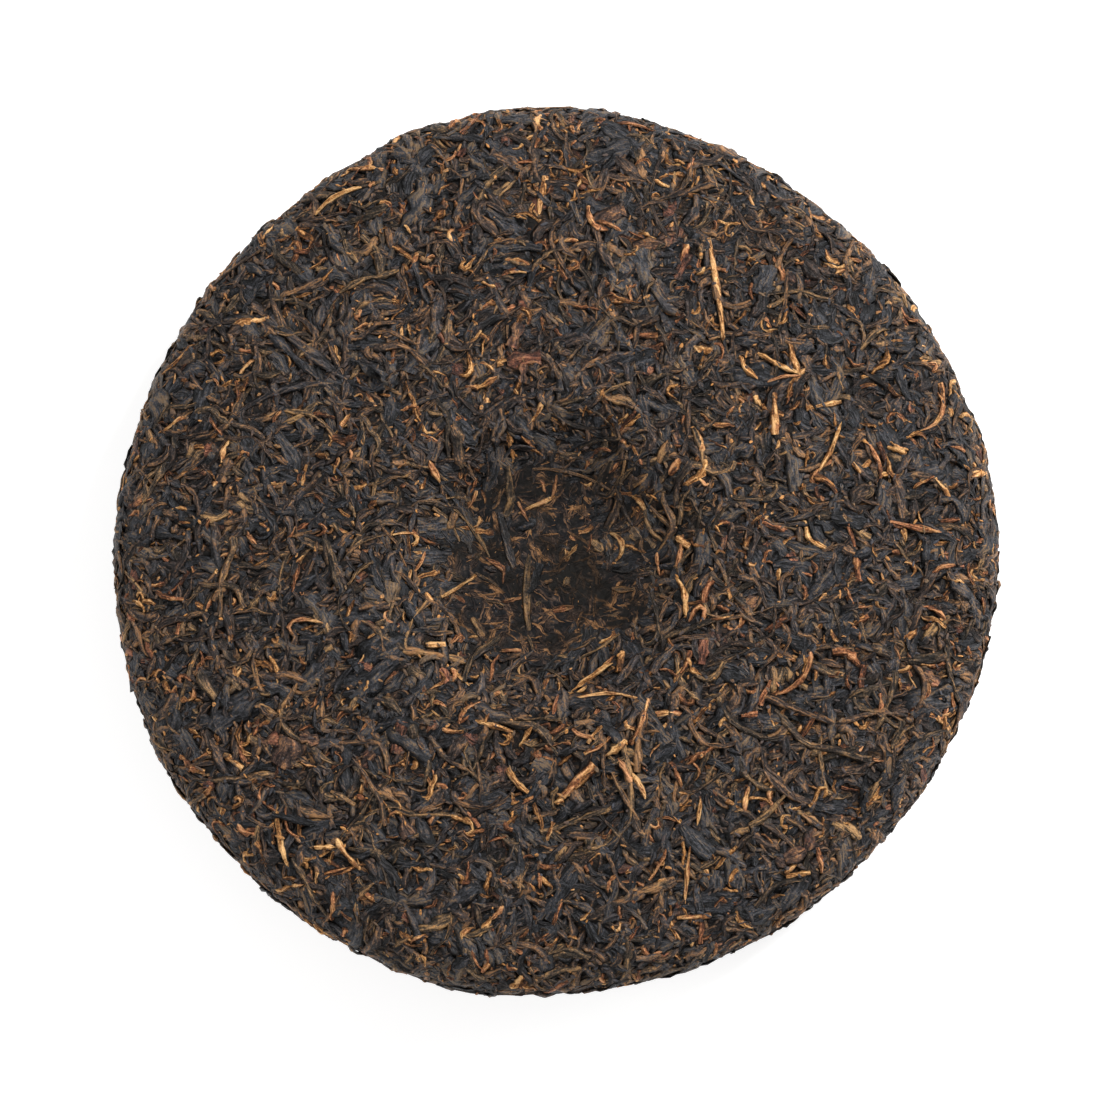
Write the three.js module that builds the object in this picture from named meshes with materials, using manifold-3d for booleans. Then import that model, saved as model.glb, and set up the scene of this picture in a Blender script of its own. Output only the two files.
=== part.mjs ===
// A pressed pu erh tea cake: a round disc of steamed and compressed tea leaves, lying with its knot dimple up.
// The domed face is underneath and rests on a small flat spot. Millimetres, +Z up, origin under the middle of the base.
// The core is one pressed mass with uneven relief. The largest leaves, buds, stalks and flakes lie fused on its skin.
import * as THREE from "three";
import { ImprovedNoise } from "three/addons/math/ImprovedNoise.js";
import { mergeVertices } from "three/addons/utils/BufferGeometryUtils.js";
import Module from "manifold-3d";

// Driving dimensions of the cake.
const CAKE_RADIUS = 99;
const CAKE_THICKNESS = 25;
const SHOULDER_RADIUS = 86; // where both faces turn into the round rim
const CREST_RADIUS = 42; // the upper face falls away outside this ring
const SHOULDER_FALL = 2.6; // how far the upper face has fallen at the shoulder
const FLAT_RADIUS = 30; // the spot that the cake rests on
const DOME_RISE = 4.6; // how far the domed face has risen at the shoulder

// The dimple that the knot of the pressing cloth leaves in the upper face.
const DIMPLE = { x: -2.5, y: -4.5, depth: 10.5, floorRadius: 13, mouthRadius: 38, mouthSway: 2 };

// Low swells of the outline: lobes round the edge, height in millimetres, and the turn of the first crest in degrees.
const OUTLINE_SWELLS = [
  { lobes: 2, height: 1.1, crest: 76 },
  { lobes: 3, height: 0.7, crest: 106 },
  { lobes: 4, height: 0.55, crest: 3 },
  { lobes: 7, height: 0.17, crest: 45 },
];

// The core's mesh and its pressed relief.
const SEGMENTS = 60;
const BASE_RINGS = 7;
const RIM_RINGS = 7;
const TOP_RINGS = 13;
const RELIEF_HEIGHT = 1;
const RELIEF_SIZE = 9;

// The leaves that lie on the core: how many, and how large.
const LEAF_COUNT = 130;
const LEAF_LENGTH = [11, 23];
const LEAF_WIDTH = [2.2, 3.6];
const LEAF_RIDGE = [0.9, 1.4];
const LEAF_BEND = 0.15; // sideways bow, as a share of the length
const LEAF_SINK = 0.8; // how deep a leaf's edges are pressed into the core
const LEAF_SPANS = 4;
const TIP_SHARE = 0.3; // the width left at a leaf's tip
const LEAF_SEED = 20;
const PLAIN_FLOOR_RADIUS = 19; // the mashed floor of the dimple keeps no raised leaves
const TABLE_CLEARANCE = 0.05; // a leaf under the cake is pressed level, this far above the flat spot

// The pieces that stand out on the upper face: middle, heading in degrees from +X, length, width, bow and ridge.
const LARGE_PIECES = [
  { x: 10, y: 76, heading: -52, length: 10, width: 2.4, bow: 0.25, ridge: 1.2 }, // golden bud near the far edge
  { x: 35.6, y: 65, heading: -82, length: 25, width: 1.9, bow: 0.04, ridge: 1.2 }, // long stalk
  { x: -56, y: 48, heading: -45, length: 23, width: 3.4, bow: 0.08, ridge: 1.1 }, // long olive leaf
  { x: -66, y: 26, heading: 25, length: 19, width: 2.8, bow: -0.1, ridge: 1.1 }, // forked dark leaf
  { x: -7.5, y: 47, heading: 70, length: 10, width: 6.5, bow: 0, ridge: 0.8 }, // russet flake
  { x: -62, y: -45, heading: 10, length: 8.5, width: 6.5, bow: 0, ridge: 0.8 }, // russet flake, left
  { x: -36, y: -43, heading: 80, length: 7, width: 3.4, bow: 0, ridge: 0.9 }, // flat chip
  { x: 24, y: -77, heading: 22, length: 9, width: 3.2, bow: 0.05, ridge: 1 }, // woody chip
  { x: 4, y: -51.5, heading: 36, length: 10, width: 2.8, bow: 0, ridge: 1 }, // woody chip by the dimple
  { x: 17, y: -42, heading: 57, length: 15, width: 2.4, bow: -0.15, ridge: 1.2 }, // bowed golden bud
  { x: 56, y: -28, heading: 58, length: 13, width: 2.4, bow: 0.2, ridge: 1.2 }, // bowed golden bud, right
  { x: 48, y: -59, heading: 40, length: 16, width: 2.2, bow: -0.08, ridge: 1.1 }, // olive stalk
  { x: 32, y: -66, heading: 125, length: 10, width: 6, bow: 0, ridge: 0.8 }, // broad grey leaf
  { x: -59, y: -13.5, heading: 4, length: 12, width: 2.4, bow: 0.1, ridge: 1.2 }, // curled bud
  { x: 80, y: 38, heading: 55, length: 12, width: 2.6, bow: -0.3, ridge: 1.2 }, // bowed bud by the right edge
  { x: 32, y: -23, heading: 88, length: 7, width: 3, bow: 0, ridge: 0.9 }, // orange flake
];
const ROOM_AROUND_PIECES = 3;

const wasm = await Module();
wasm.setup();
const noise = new ImprovedNoise();

// Repeatable draws between 0 and 1.
function seededDraw(seed) {
  let state = seed;
  return () => {
    state = (state * 1664525 + 1013904223) % 4294967296;
    return state / 4294967296;
  };
}

const between = (range, share) => range[0] + (range[1] - range[0]) * share;

// Heights of the two faces above the table, at a distance from the middle.
const topHeight = (r) =>
  CAKE_THICKNESS - SHOULDER_FALL * Math.max(0, (r - CREST_RADIUS) / (SHOULDER_RADIUS - CREST_RADIUS)) ** 2;
const baseHeight = (r) => DOME_RISE * Math.max(0, (r - FLAT_RADIUS) / (SHOULDER_RADIUS - FLAT_RADIUS)) ** 2;

// Half of the cake's cut section, from the middle of the base round the rim to the middle of the top.
function sectionPoints() {
  const points = [];
  for (let i = 0; i <= BASE_RINGS; i++) {
    const r = (SHOULDER_RADIUS * i) / BASE_RINGS;
    points.push(new THREE.Vector2(r, baseHeight(r)));
  }
  const low = baseHeight(SHOULDER_RADIUS);
  const high = topHeight(SHOULDER_RADIUS);
  const rim = new THREE.EllipseCurve(
    SHOULDER_RADIUS, (low + high) / 2, CAKE_RADIUS - SHOULDER_RADIUS, (high - low) / 2, -Math.PI / 2, Math.PI / 2,
  );
  points.push(...rim.getPoints(RIM_RINGS).slice(1, -1));
  for (let i = TOP_RINGS; i >= 0; i--) {
    const r = (SHOULDER_RADIUS * i) / TOP_RINGS;
    points.push(new THREE.Vector2(r, topHeight(r)));
  }
  return points;
}

// The section's skin as closely spaced places, each with the direction that points straight out of it.
function skinSamples(steps) {
  const section = new THREE.SplineCurve(sectionPoints());
  section.arcLengthDivisions = 2 * steps;
  const samples = [];
  for (let i = 0; i <= steps; i++) {
    const tangent = section.getTangentAt(i / steps);
    samples.push({ spot: section.getPointAt(i / steps), outward: new THREE.Vector2(tangent.y, -tangent.x) });
  }
  return samples;
}

const skin = skinSamples(400);

function nearestSkin(r, z) {
  let nearest = skin[0];
  let least = Infinity;
  for (const sample of skin) {
    const away = Math.hypot(sample.spot.x - r, sample.spot.y - z);
    if (away < least) {
      least = away;
      nearest = sample;
    }
  }
  return nearest;
}

// How much further out or in the edge lies at a turn round the middle.
function outlineSwell(turn) {
  let swell = 0;
  for (const { lobes, height, crest } of OUTLINE_SWELLS) {
    swell += height * Math.cos(lobes * (turn - THREE.MathUtils.degToRad(crest)));
  }
  return swell;
}

// How deep the upper face is pressed in at a place.
function dimpleDepth(x, y) {
  const away = Math.hypot(x - DIMPLE.x, y - DIMPLE.y);
  const turn = Math.atan2(y - DIMPLE.y, x - DIMPLE.x);
  const mouth = DIMPLE.mouthRadius + DIMPLE.mouthSway * Math.cos(2 * turn - 1);
  return DIMPLE.depth * (1 - THREE.MathUtils.smoothstep(away, DIMPLE.floorRadius, mouth));
}

// The uneven bumps of the pressed mass, which leave the flat spot flat.
function reliefHeight(point) {
  const away = Math.hypot(point.x, point.y);
  const under = point.z < CAKE_THICKNESS / 2;
  const share = under ? THREE.MathUtils.smoothstep(away, FLAT_RADIUS, SHOULDER_RADIUS) : 1;
  return share * RELIEF_HEIGHT * noise.noise(point.x / RELIEF_SIZE, point.y / RELIEF_SIZE, point.z / RELIEF_SIZE);
}

// Lifts a place off the plain round cake's skin, and moves it to where it lies on the uneven, dimpled one.
function pressed(point, outward, height) {
  point.addScaledVector(outward, height + reliefHeight(point));
  const stretch = 1 + outlineSwell(Math.atan2(point.y, point.x)) / CAKE_RADIUS;
  point.x *= stretch;
  point.y *= stretch;
  if (point.z > CAKE_THICKNESS / 2) point.z -= dimpleDepth(point.x, point.y);
  return point;
}

// The core: a lathed section whose skin carries low, uneven bumps.
function coreGeometry() {
  const lathe = new THREE.LatheGeometry(sectionPoints(), SEGMENTS);
  lathe.rotateX(Math.PI / 2);
  const places = lathe.getAttribute("position");
  const normals = lathe.getAttribute("normal");
  for (let i = 0; i < places.count; i++) {
    const point = new THREE.Vector3().fromBufferAttribute(places, i);
    const outward = new THREE.Vector3().fromBufferAttribute(normals, i);
    if (Math.hypot(point.x, point.y) < 0.01) outward.set(0, 0, Math.sign(point.z - CAKE_THICKNESS / 2));
    pressed(point, outward, 0);
    places.setXYZ(i, point.x, point.y, point.z);
  }
  lathe.deleteAttribute("normal");
  lathe.deleteAttribute("uv");
  return mergeVertices(lathe, 1e-3);
}

// The place on the plain cake's skin that is nearest to a point, and the direction straight out of it.
function onSkin(point) {
  const turn = Math.atan2(point.y, point.x);
  const { spot, outward } = nearestSkin(Math.hypot(point.x, point.y), point.z);
  return {
    place: new THREE.Vector3(spot.x * Math.cos(turn), spot.x * Math.sin(turn), spot.y),
    outward: new THREE.Vector3(outward.x * Math.cos(turn), outward.x * Math.sin(turn), outward.y),
  };
}

// A leaf: a long three-sided sliver with narrow tips, bowed sideways and laid on the skin with its ridge outwards.
function leafGeometry({ middle, ahead, length, width, bow, ridge }) {
  const sliver = new THREE.CylinderGeometry(1, 1, 1, 3, LEAF_SPANS);
  sliver.deleteAttribute("normal");
  sliver.deleteAttribute("uv");
  const leaf = mergeVertices(sliver, 1e-4);
  const places = leaf.getAttribute("position");
  const across = new THREE.Vector3().crossVectors(ahead, onSkin(middle).outward).normalize();
  const edge = Math.sin(Math.PI / 3);
  for (let i = 0; i < places.count; i++) {
    const share = places.getY(i) + 0.5;
    const arch = Math.sin(Math.PI * share);
    const fullness = TIP_SHARE + (1 - TIP_SHARE) * arch ** 0.7;
    const sideways = ((places.getX(i) / edge) * fullness * width) / 2 + bow * length * arch;
    const point = middle.clone().addScaledVector(ahead, (share - 0.5) * length).addScaledVector(across, sideways);
    const { place, outward } = onSkin(point);
    const rise = (places.getZ(i) + 0.5) / 1.5; // 0 at the two pressed edges, 1 on the ridge
    pressed(place, outward, THREE.MathUtils.lerp(-LEAF_SINK, ridge * fullness, rise));
    places.setXYZ(i, place.x, place.y, Math.max(place.z, TABLE_CLEARANCE));
  }
  return leaf;
}

// Leaves spread evenly over the whole skin, at the golden angle, each with its own size and heading.
function scatteredLeaves() {
  const draw = seededDraw(LEAF_SEED);
  const goldenAngle = Math.PI * (3 - Math.sqrt(5));
  const area = [0];
  for (let i = 1; i < skin.length; i++) area.push(area[i - 1] + skin[i].spot.x);
  const leaves = [];
  let step = 0;
  for (let i = 0; i < LEAF_COUNT; i++) {
    while (area[step] < (area.at(-1) * (i + 0.5)) / LEAF_COUNT) step++;
    const { spot, outward } = skin[step];
    const turn = i * goldenAngle;
    const heading = draw() * Math.PI;
    const round = new THREE.Vector3(-Math.sin(turn), Math.cos(turn), 0);
    const inward = new THREE.Vector3(-outward.y * Math.cos(turn), -outward.y * Math.sin(turn), outward.x);
    const leaf = {
      middle: new THREE.Vector3(spot.x * Math.cos(turn), spot.x * Math.sin(turn), spot.y),
      ahead: round.multiplyScalar(Math.cos(heading)).addScaledVector(inward, Math.sin(heading)),
      length: between(LEAF_LENGTH, draw() ** 2),
      width: between(LEAF_WIDTH, draw()),
      bow: LEAF_BEND * (2 * draw() - 1),
      ridge: between(LEAF_RIDGE, draw()),
    };
    if (hasRoom(leaf)) leaves.push(leaf);
  }
  return leaves;
}

// A scattered leaf stays off the flat spot, off the dimple's mashed floor and off the large pieces.
function hasRoom({ middle, length }) {
  const { x, y, z } = middle;
  if (z < CAKE_THICKNESS / 2) return Math.hypot(x, y) - length / 2 > FLAT_RADIUS;
  if (Math.hypot(x - DIMPLE.x, y - DIMPLE.y) - length / 2 < PLAIN_FLOOR_RADIUS) return false;
  return LARGE_PIECES.every((piece) => Math.hypot(x - piece.x, y - piece.y) > piece.length / 2 + ROOM_AROUND_PIECES);
}

// The large pieces, from their places and headings as seen from above.
function largeLeaves() {
  return LARGE_PIECES.map(({ x, y, heading, ...sizes }) => {
    const angle = THREE.MathUtils.degToRad(heading);
    return {
      middle: new THREE.Vector3(x, y, topHeight(Math.hypot(x, y))),
      ahead: new THREE.Vector3(Math.cos(angle), Math.sin(angle), 0),
      ...sizes,
    };
  });
}

function toSolid(geometry) {
  const mesh = new wasm.Mesh({
    numProp: 3,
    vertProperties: geometry.getAttribute("position").array,
    triVerts: new Uint32Array(geometry.index.array),
  });
  return new wasm.Manifold(mesh);
}

function toGeometry(solid) {
  const { vertProperties, triVerts } = solid.getMesh();
  const geometry = new THREE.BufferGeometry();
  geometry.setAttribute("position", new THREE.BufferAttribute(vertProperties, 3));
  geometry.setIndex(new THREE.BufferAttribute(triVerts, 1));
  return geometry;
}

// Moves the finished cake so that its box is centred over the origin. Its flat spot is already at height 0.
function centred(geometry) {
  geometry.computeBoundingBox();
  const middle = geometry.boundingBox.getCenter(new THREE.Vector3());
  return geometry.translate(-middle.x, -middle.y, 0);
}

// Joins the leaves to the core. Only the outer skin is kept, so that a hollow which a leaf seals is filled.
function fusedCake() {
  let cake = toSolid(coreGeometry());
  for (const leaf of [...largeLeaves(), ...scatteredLeaves()]) cake = cake.add(toSolid(leafGeometry(leaf)));
  const [outer] = cake.decompose().sort((a, b) => b.volume() - a.volume());
  return outer;
}

const teaCake = new THREE.Mesh(
  centred(toGeometry(fusedCake())),
  new THREE.MeshStandardMaterial({ color: 0x3a2f28, roughness: 0.8, metalness: 0, flatShading: true }),
);
teaCake.name = "pressed_tea_cake";

const group = new THREE.Group();
group.add(teaCake);

export default group;
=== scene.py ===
import math
from typing import NamedTuple

import bpy
import numpy as np
from bpy.props import FloatProperty, FloatVectorProperty, IntProperty, PointerProperty
from bpy.types import Operator, Panel, PropertyGroup
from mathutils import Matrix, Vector


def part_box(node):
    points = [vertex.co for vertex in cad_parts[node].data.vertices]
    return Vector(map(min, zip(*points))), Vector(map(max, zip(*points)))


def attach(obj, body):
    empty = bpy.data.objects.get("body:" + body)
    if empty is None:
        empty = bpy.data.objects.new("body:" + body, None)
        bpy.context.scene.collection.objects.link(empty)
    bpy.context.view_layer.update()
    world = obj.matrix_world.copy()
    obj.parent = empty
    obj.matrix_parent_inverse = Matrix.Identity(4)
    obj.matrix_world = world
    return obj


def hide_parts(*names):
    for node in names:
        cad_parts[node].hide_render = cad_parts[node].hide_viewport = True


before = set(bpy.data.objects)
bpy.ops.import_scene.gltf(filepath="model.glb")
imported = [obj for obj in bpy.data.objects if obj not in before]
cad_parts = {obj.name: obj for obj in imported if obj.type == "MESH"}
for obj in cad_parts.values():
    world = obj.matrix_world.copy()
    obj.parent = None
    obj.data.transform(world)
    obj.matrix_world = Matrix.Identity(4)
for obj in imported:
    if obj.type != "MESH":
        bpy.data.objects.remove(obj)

bl_info = {
    "name": "Pressed Tea Cake",
    "version": (1, 0, 0),
    "blender": (4, 5, 0),
    "location": "View3D > Sidebar > Tea Cake",
    "description": "Covers a pressed tea cake with its leaves, buds, stalks and crumbs",
    "category": "Object",
}

CAKE = "pressed_tea_cake"
BODY = "root"
MM = 0.001
MOST_TRIANGLES = 200_000

CAKE_LOW, CAKE_HIGH = (Vector(corner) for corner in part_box(CAKE))
CAKE_SIZE = CAKE_HIGH - CAKE_LOW

CAMERA_LENS = 130
CAMERA_SENSOR = 36
CAMERA_ELEVATION = math.radians(80)
CAMERA_BACK = Vector((0, -math.cos(CAMERA_ELEVATION), math.sin(CAMERA_ELEVATION)))
CAMERA_AIM = Vector((-1.5 * MM, -1.3 * MM, CAKE_SIZE.z / 2))
VIEW_SHARE = 887 / 1100  # the cake's width as a share of the picture's
CAMERA_PLACE = CAMERA_AIM + CAKE_SIZE.x / VIEW_SHARE * CAMERA_LENS / CAMERA_SENSOR * CAMERA_BACK


# Settings


class CakeSizes(PropertyGroup):
    """The cake as a whole. Leaves stand out of this skin, so it lies a little inside the cake's box."""

    radius: FloatProperty(
        name="Radius", description="Middle of the cake to its edge", unit="LENGTH",
        default=(CAKE_SIZE.x + CAKE_SIZE.y) / 4 - 0.15 * MM,
    )
    thickness: FloatProperty(
        name="Thickness", description="Resting face to the upper face", unit="LENGTH",
        default=CAKE_SIZE.z - 0.4 * MM,
    )
    shoulder: FloatProperty(
        name="Shoulder", description="Width of the round rim, from the edge to the faces", unit="LENGTH",
        default=13 * MM,
    )
    dome_rise: FloatProperty(
        name="Dome Rise", description="How far the underside has risen at the shoulder", unit="LENGTH",
        default=4.6 * MM,
    )
    shoulder_fall: FloatProperty(
        name="Shoulder Fall", description="How far the upper face has fallen at the shoulder", unit="LENGTH",
        default=2.6 * MM,
    )
    dimple_depth: FloatProperty(
        name="Dimple Depth", description="Depth of the knot dimple", unit="LENGTH", default=10.5 * MM,
    )
    dimple_floor: FloatProperty(
        name="Dimple Floor", description="Radius of the dimple's floor", unit="LENGTH", default=13 * MM,
    )
    dimple_mouth: FloatProperty(
        name="Dimple Mouth", description="Radius of the dimple's mouth", unit="LENGTH", default=38 * MM,
    )


class LeafSizes(PropertyGroup):
    """How many leaves cover the cake, and how large a usual one is."""

    upper_count: IntProperty(name="Upper Leaves", description="Leaves laid on the upper side", default=10200)
    lower_count: IntProperty(name="Lower Leaves", description="Leaves laid on the underside", default=4900)
    crumb_share: FloatProperty(name="Crumbs", description="Crumbs for each leaf", default=0.3)
    length: FloatProperty(
        name="Length", description="Length of a usual leaf", unit="LENGTH", default=5.6 * MM,
    )
    width: FloatProperty(
        name="Width", description="Width of a usual leaf", unit="LENGTH", default=1.9 * MM,
    )
    upper_bed: FloatProperty(
        name="Upper Bed", description="From the pressed upper surface down to the core", unit="LENGTH",
        default=1.5 * MM,
    )
    lower_bed: FloatProperty(
        name="Lower Bed", description="From the pressed underside up to the core", unit="LENGTH",
        default=0.9 * MM,
    )
    seed: IntProperty(name="Seed", description="Changes every random draw", default=7)


def tea_colour(label, value):
    description = f"Linear colour: {label.lower()}"
    return FloatVectorProperty(name=label, description=description, subtype="COLOR", default=value)


class LeafColours(PropertyGroup):
    """For each kind the colour of its hollows, of its body and of its lightest ridges."""

    black_dark: tea_colour("Black Leaf, Dark", (0.016, 0.0165, 0.019))
    black_light: tea_colour("Black Leaf, Light", (0.044, 0.047, 0.058))
    black_edge: tea_colour("Black Leaf, Edge", (0.19, 0.12, 0.065))
    charcoal_dark: tea_colour("Charcoal Leaf, Dark", (0.02, 0.0205, 0.0235))
    charcoal_light: tea_colour("Charcoal Leaf, Light", (0.05, 0.053, 0.064))
    charcoal_edge: tea_colour("Charcoal Leaf, Edge", (0.14, 0.1, 0.066))
    brown_dark: tea_colour("Brown Leaf, Dark", (0.028, 0.0195, 0.017))
    brown_light: tea_colour("Brown Leaf, Light", (0.094, 0.059, 0.042))
    brown_edge: tea_colour("Brown Leaf, Edge", (0.33, 0.165, 0.07))
    olive_dark: tea_colour("Olive Leaf, Dark", (0.04, 0.029, 0.0195))
    olive_light: tea_colour("Olive Leaf, Light", (0.146, 0.093, 0.052))
    olive_edge: tea_colour("Olive Leaf, Edge", (0.44, 0.25, 0.105))
    gold_dark: tea_colour("Golden Bud, Dark", (0.16, 0.062, 0.017))
    gold_light: tea_colour("Golden Bud, Light", (0.52, 0.235, 0.07))
    gold_edge: tea_colour("Golden Bud, Edge", (0.95, 0.56, 0.24))
    stalk_dark: tea_colour("Stalk, Dark", (0.095, 0.034, 0.016))
    stalk_light: tea_colour("Stalk, Light", (0.34, 0.12, 0.048))
    stalk_edge: tea_colour("Stalk, Edge", (0.66, 0.3, 0.14))
    flake_dark: tea_colour("Flake, Dark", (0.075, 0.03, 0.021))
    flake_light: tea_colour("Flake, Light", (0.22, 0.078, 0.043))
    flake_edge: tea_colour("Flake, Edge", (0.42, 0.18, 0.095))
    core_dark: tea_colour("Core, Dark", (0.0075, 0.0075, 0.0088))
    core_light: tea_colour("Core, Light", (0.022, 0.019, 0.018))


class StudioLook(PropertyGroup):
    """The light and the floor that the cake is shown with."""

    floor: FloatVectorProperty(
        name="Floor", description="Colour of the floor", subtype="COLOR", default=(0.55, 0.55, 0.55),
    )
    floor_glow: FloatProperty(
        name="Floor Glow", description="Light that the floor gives, to soften shadows", default=1.3,
    )
    key_power: FloatProperty(
        name="Key Power", description="Soft light from the upper right", unit="POWER", default=18,
    )
    side_power: FloatProperty(
        name="Side Power", description="Weak light from the lower left", unit="POWER", default=6,
    )
    rim_power: FloatProperty(
        name="Rim Power", description="Low light from the right", unit="POWER", default=4,
    )
    fill: FloatProperty(
        name="Fill", description="Strength of the even light from all round", default=0.33,
    )


# The cake's skin


class Section(NamedTuple):
    """The cake's half section as close points, each with its run along the skin from the top's middle."""

    run: np.ndarray
    reach: np.ndarray
    height: np.ndarray


OUTLINE_SWELLS = (
    # lobes, height, turn of the first crest
    (2, 1.1 * MM, math.radians(76)),
    (3, 0.7 * MM, math.radians(106)),
    (4, 0.55 * MM, math.radians(3)),
    (7, 0.17 * MM, math.radians(45)),
)
FACE_POINTS = 340
RIM_POINTS = 160
OUTLINE_POINTS = 720
CREST_SHARE = 0.42  # the upper face falls away outside this share of the radius
FLAT_SHARE = 0.30  # the cake rests on this share of the radius
UNEVEN_FROM = 1.8  # times that, from where the underside is fully uneven
TABLE_CLEARANCE = 0.02 * MM
DIMPLE_PLACE = (-2.5 * MM, -4.5 * MM)
DIMPLE_SWAY = 2 * MM
DIMPLE_SWAY_TURN = 1.0
MASH_PLACE = (-1 * MM, -4.5 * MM)
MASH_FADE = (1.2, 2.2)  # times the radius of the dimple's floor
BARE_PLACE = (4.5 * MM, -7.5 * MM)
BARE_FADE = (3.3 * MM, 7.15 * MM)
SIGHT_ROUNDS = 6

# Ripples: seed, height, shortest wave, longest wave
SKIN_RIPPLES = (31, 0.28 * MM, 16 * MM, 60 * MM)
MASH_RIPPLES = (5, 2.2 * MM, 9 * MM, 22 * MM)
CEILING_RIPPLES = (77, 0.22 * MM, 6 * MM, 26 * MM)
HEADING_RIPPLES = (1.7, 16 * MM, 45 * MM)  # without the seed, and the height is in radians


def smoothstep(low, high, value):
    share = np.clip((value - low) / (high - low), 0, 1)
    return share * share * (3 - 2 * share)


def cake_section(cake):
    """Top, rim and underside as one line of points."""
    shoulder = cake.radius - cake.shoulder
    crest = CREST_SHARE * cake.radius
    flat = FLAT_SHARE * cake.radius
    across = np.linspace(0, shoulder, FACE_POINTS)
    top = cake.thickness - cake.shoulder_fall * np.maximum(0, (across - crest) / (shoulder - crest)) ** 2
    base = cake.dome_rise * np.maximum(0, (across - flat) / (shoulder - flat)) ** 2
    middle = (top[-1] + base[-1]) / 2
    turn = np.linspace(math.pi / 2, -math.pi / 2, RIM_POINTS)[1:-1]
    rim_reach = shoulder + cake.shoulder * np.cos(turn)
    rim_height = middle + (top[-1] - base[-1]) / 2 * np.sin(turn)
    reach = np.concatenate([across, rim_reach, across[::-1]])
    height = np.concatenate([top, rim_height, base[::-1]])
    steps = np.hypot(np.diff(reach), np.diff(height))
    return Section(np.concatenate([[0], np.cumsum(steps)]), reach, height)


def outline_swell(turn):
    return sum(height * np.cos(lobes * (turn - crest)) for lobes, height, crest in OUTLINE_SWELLS)


def dimple_share(x, y, cake):
    """1 on the dimple's floor, 0 outside its mouth."""
    away = np.hypot(x - DIMPLE_PLACE[0], y - DIMPLE_PLACE[1])
    turn = np.arctan2(y - DIMPLE_PLACE[1], x - DIMPLE_PLACE[0])
    mouth = cake.dimple_mouth + DIMPLE_SWAY * np.cos(2 * turn - DIMPLE_SWAY_TURN)
    return 1 - smoothstep(cake.dimple_floor, mouth, away)


class Ripples:
    """Smooth, seeded unevenness: a sum of waves that run in all directions."""

    def __init__(self, seed, height, shortest, longest, waves=28):
        draw = np.random.default_rng(seed)
        direction = draw.normal(size=(waves, 3))
        direction /= np.linalg.norm(direction, axis=1, keepdims=True)
        self.wave = direction * (2 * math.pi / draw.uniform(shortest, longest, (waves, 1)))
        self.start = draw.uniform(0, 2 * math.pi, waves)
        self.height = height * math.sqrt(2 / waves)

    def at(self, points):
        total = np.zeros(points.shape[:-1])
        for wave, start in zip(self.wave, self.start):
            total += np.sin(points @ wave + start)
        return self.height * total


class Skin:
    """One side of the cake, laid flat: a place (u, v) is as far from (0, 0) as the skin runs to it."""

    def __init__(self, cake, upper):
        self.cake = cake
        self.upper = upper
        section = cake_section(cake)
        order = slice(None) if upper else slice(None, None, -1)
        self.run = section.run if upper else section.run[-1] - section.run[::-1]
        self.reach = section.reach[order]
        self.height = section.height[order]
        turns = np.linspace(0, 2 * math.pi, OUTLINE_POINTS, endpoint=False)
        edge = cake.radius + outline_swell(turns)
        edge_x = edge * np.cos(turns)
        edge_y = edge * np.sin(turns)
        self.middle = ((edge_x.max() + edge_x.min()) / 2, (edge_y.max() + edge_y.min()) / 2)
        self.unevenness = Ripples(*SKIN_RIPPLES)

    def smooth_place(self, u, v):
        run = np.hypot(u, v)
        turn = np.arctan2(v, u)
        reach = np.interp(run, self.run, self.reach)
        height = np.interp(run, self.run, self.height)
        reach = reach * (1 + outline_swell(turn) / self.cake.radius)
        x = reach * np.cos(turn)
        y = reach * np.sin(turn)
        pressed = np.where(height > self.cake.thickness / 2, dimple_share(x, y, self.cake), 0)
        z = height - self.cake.dimple_depth * pressed
        return np.stack([x - self.middle[0], y - self.middle[1], z], axis=-1)

    def normal(self, u, v):
        step = 0.3 * MM
        along_u = self.smooth_place(u + step, v) - self.smooth_place(u - step, v)
        along_v = self.smooth_place(u, v + step) - self.smooth_place(u, v - step)
        out = np.cross(along_u, along_v)
        out /= np.linalg.norm(out, axis=-1, keepdims=True)
        return out if self.upper else -out

    def place(self, u, v, lift):
        """The spot in the cake's own frame that lies over (u, v), at a height above the skin."""
        base = self.smooth_place(u, v)
        out = self.normal(u, v)
        away = np.hypot(base[..., 0], base[..., 1])
        flat = FLAT_SHARE * self.cake.radius
        settled = 1.0 if self.upper else smoothstep(flat, UNEVEN_FROM * flat, away)
        lift = lift + self.unevenness.at(base) * settled
        spot = base + out * np.asarray(lift)[..., None]
        spot[..., 2] = np.maximum(spot[..., 2], CAKE_LOW.z + TABLE_CLEARANCE)
        return spot, out

    def mash(self, u, v):
        """How hard the knot has mashed the leaves: 1 on the dimple's floor."""
        if not self.upper:
            return np.zeros_like(u)
        base = self.smooth_place(u, v)
        x = base[..., 0] + self.middle[0]
        y = base[..., 1] + self.middle[1]
        away = np.hypot(x - MASH_PLACE[0], y - MASH_PLACE[1]) + Ripples(*MASH_RIPPLES).at(base)
        return 1 - smoothstep(*(share * self.cake.dimple_floor for share in MASH_FADE), away)


def bare_share(u, v, skin):
    """1 where the dimple's floor is smooth and black."""
    away = np.hypot(u - skin.middle[0] - BARE_PLACE[0], v - skin.middle[1] - BARE_PLACE[1])
    return 1 - smoothstep(*BARE_FADE, away)


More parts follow.
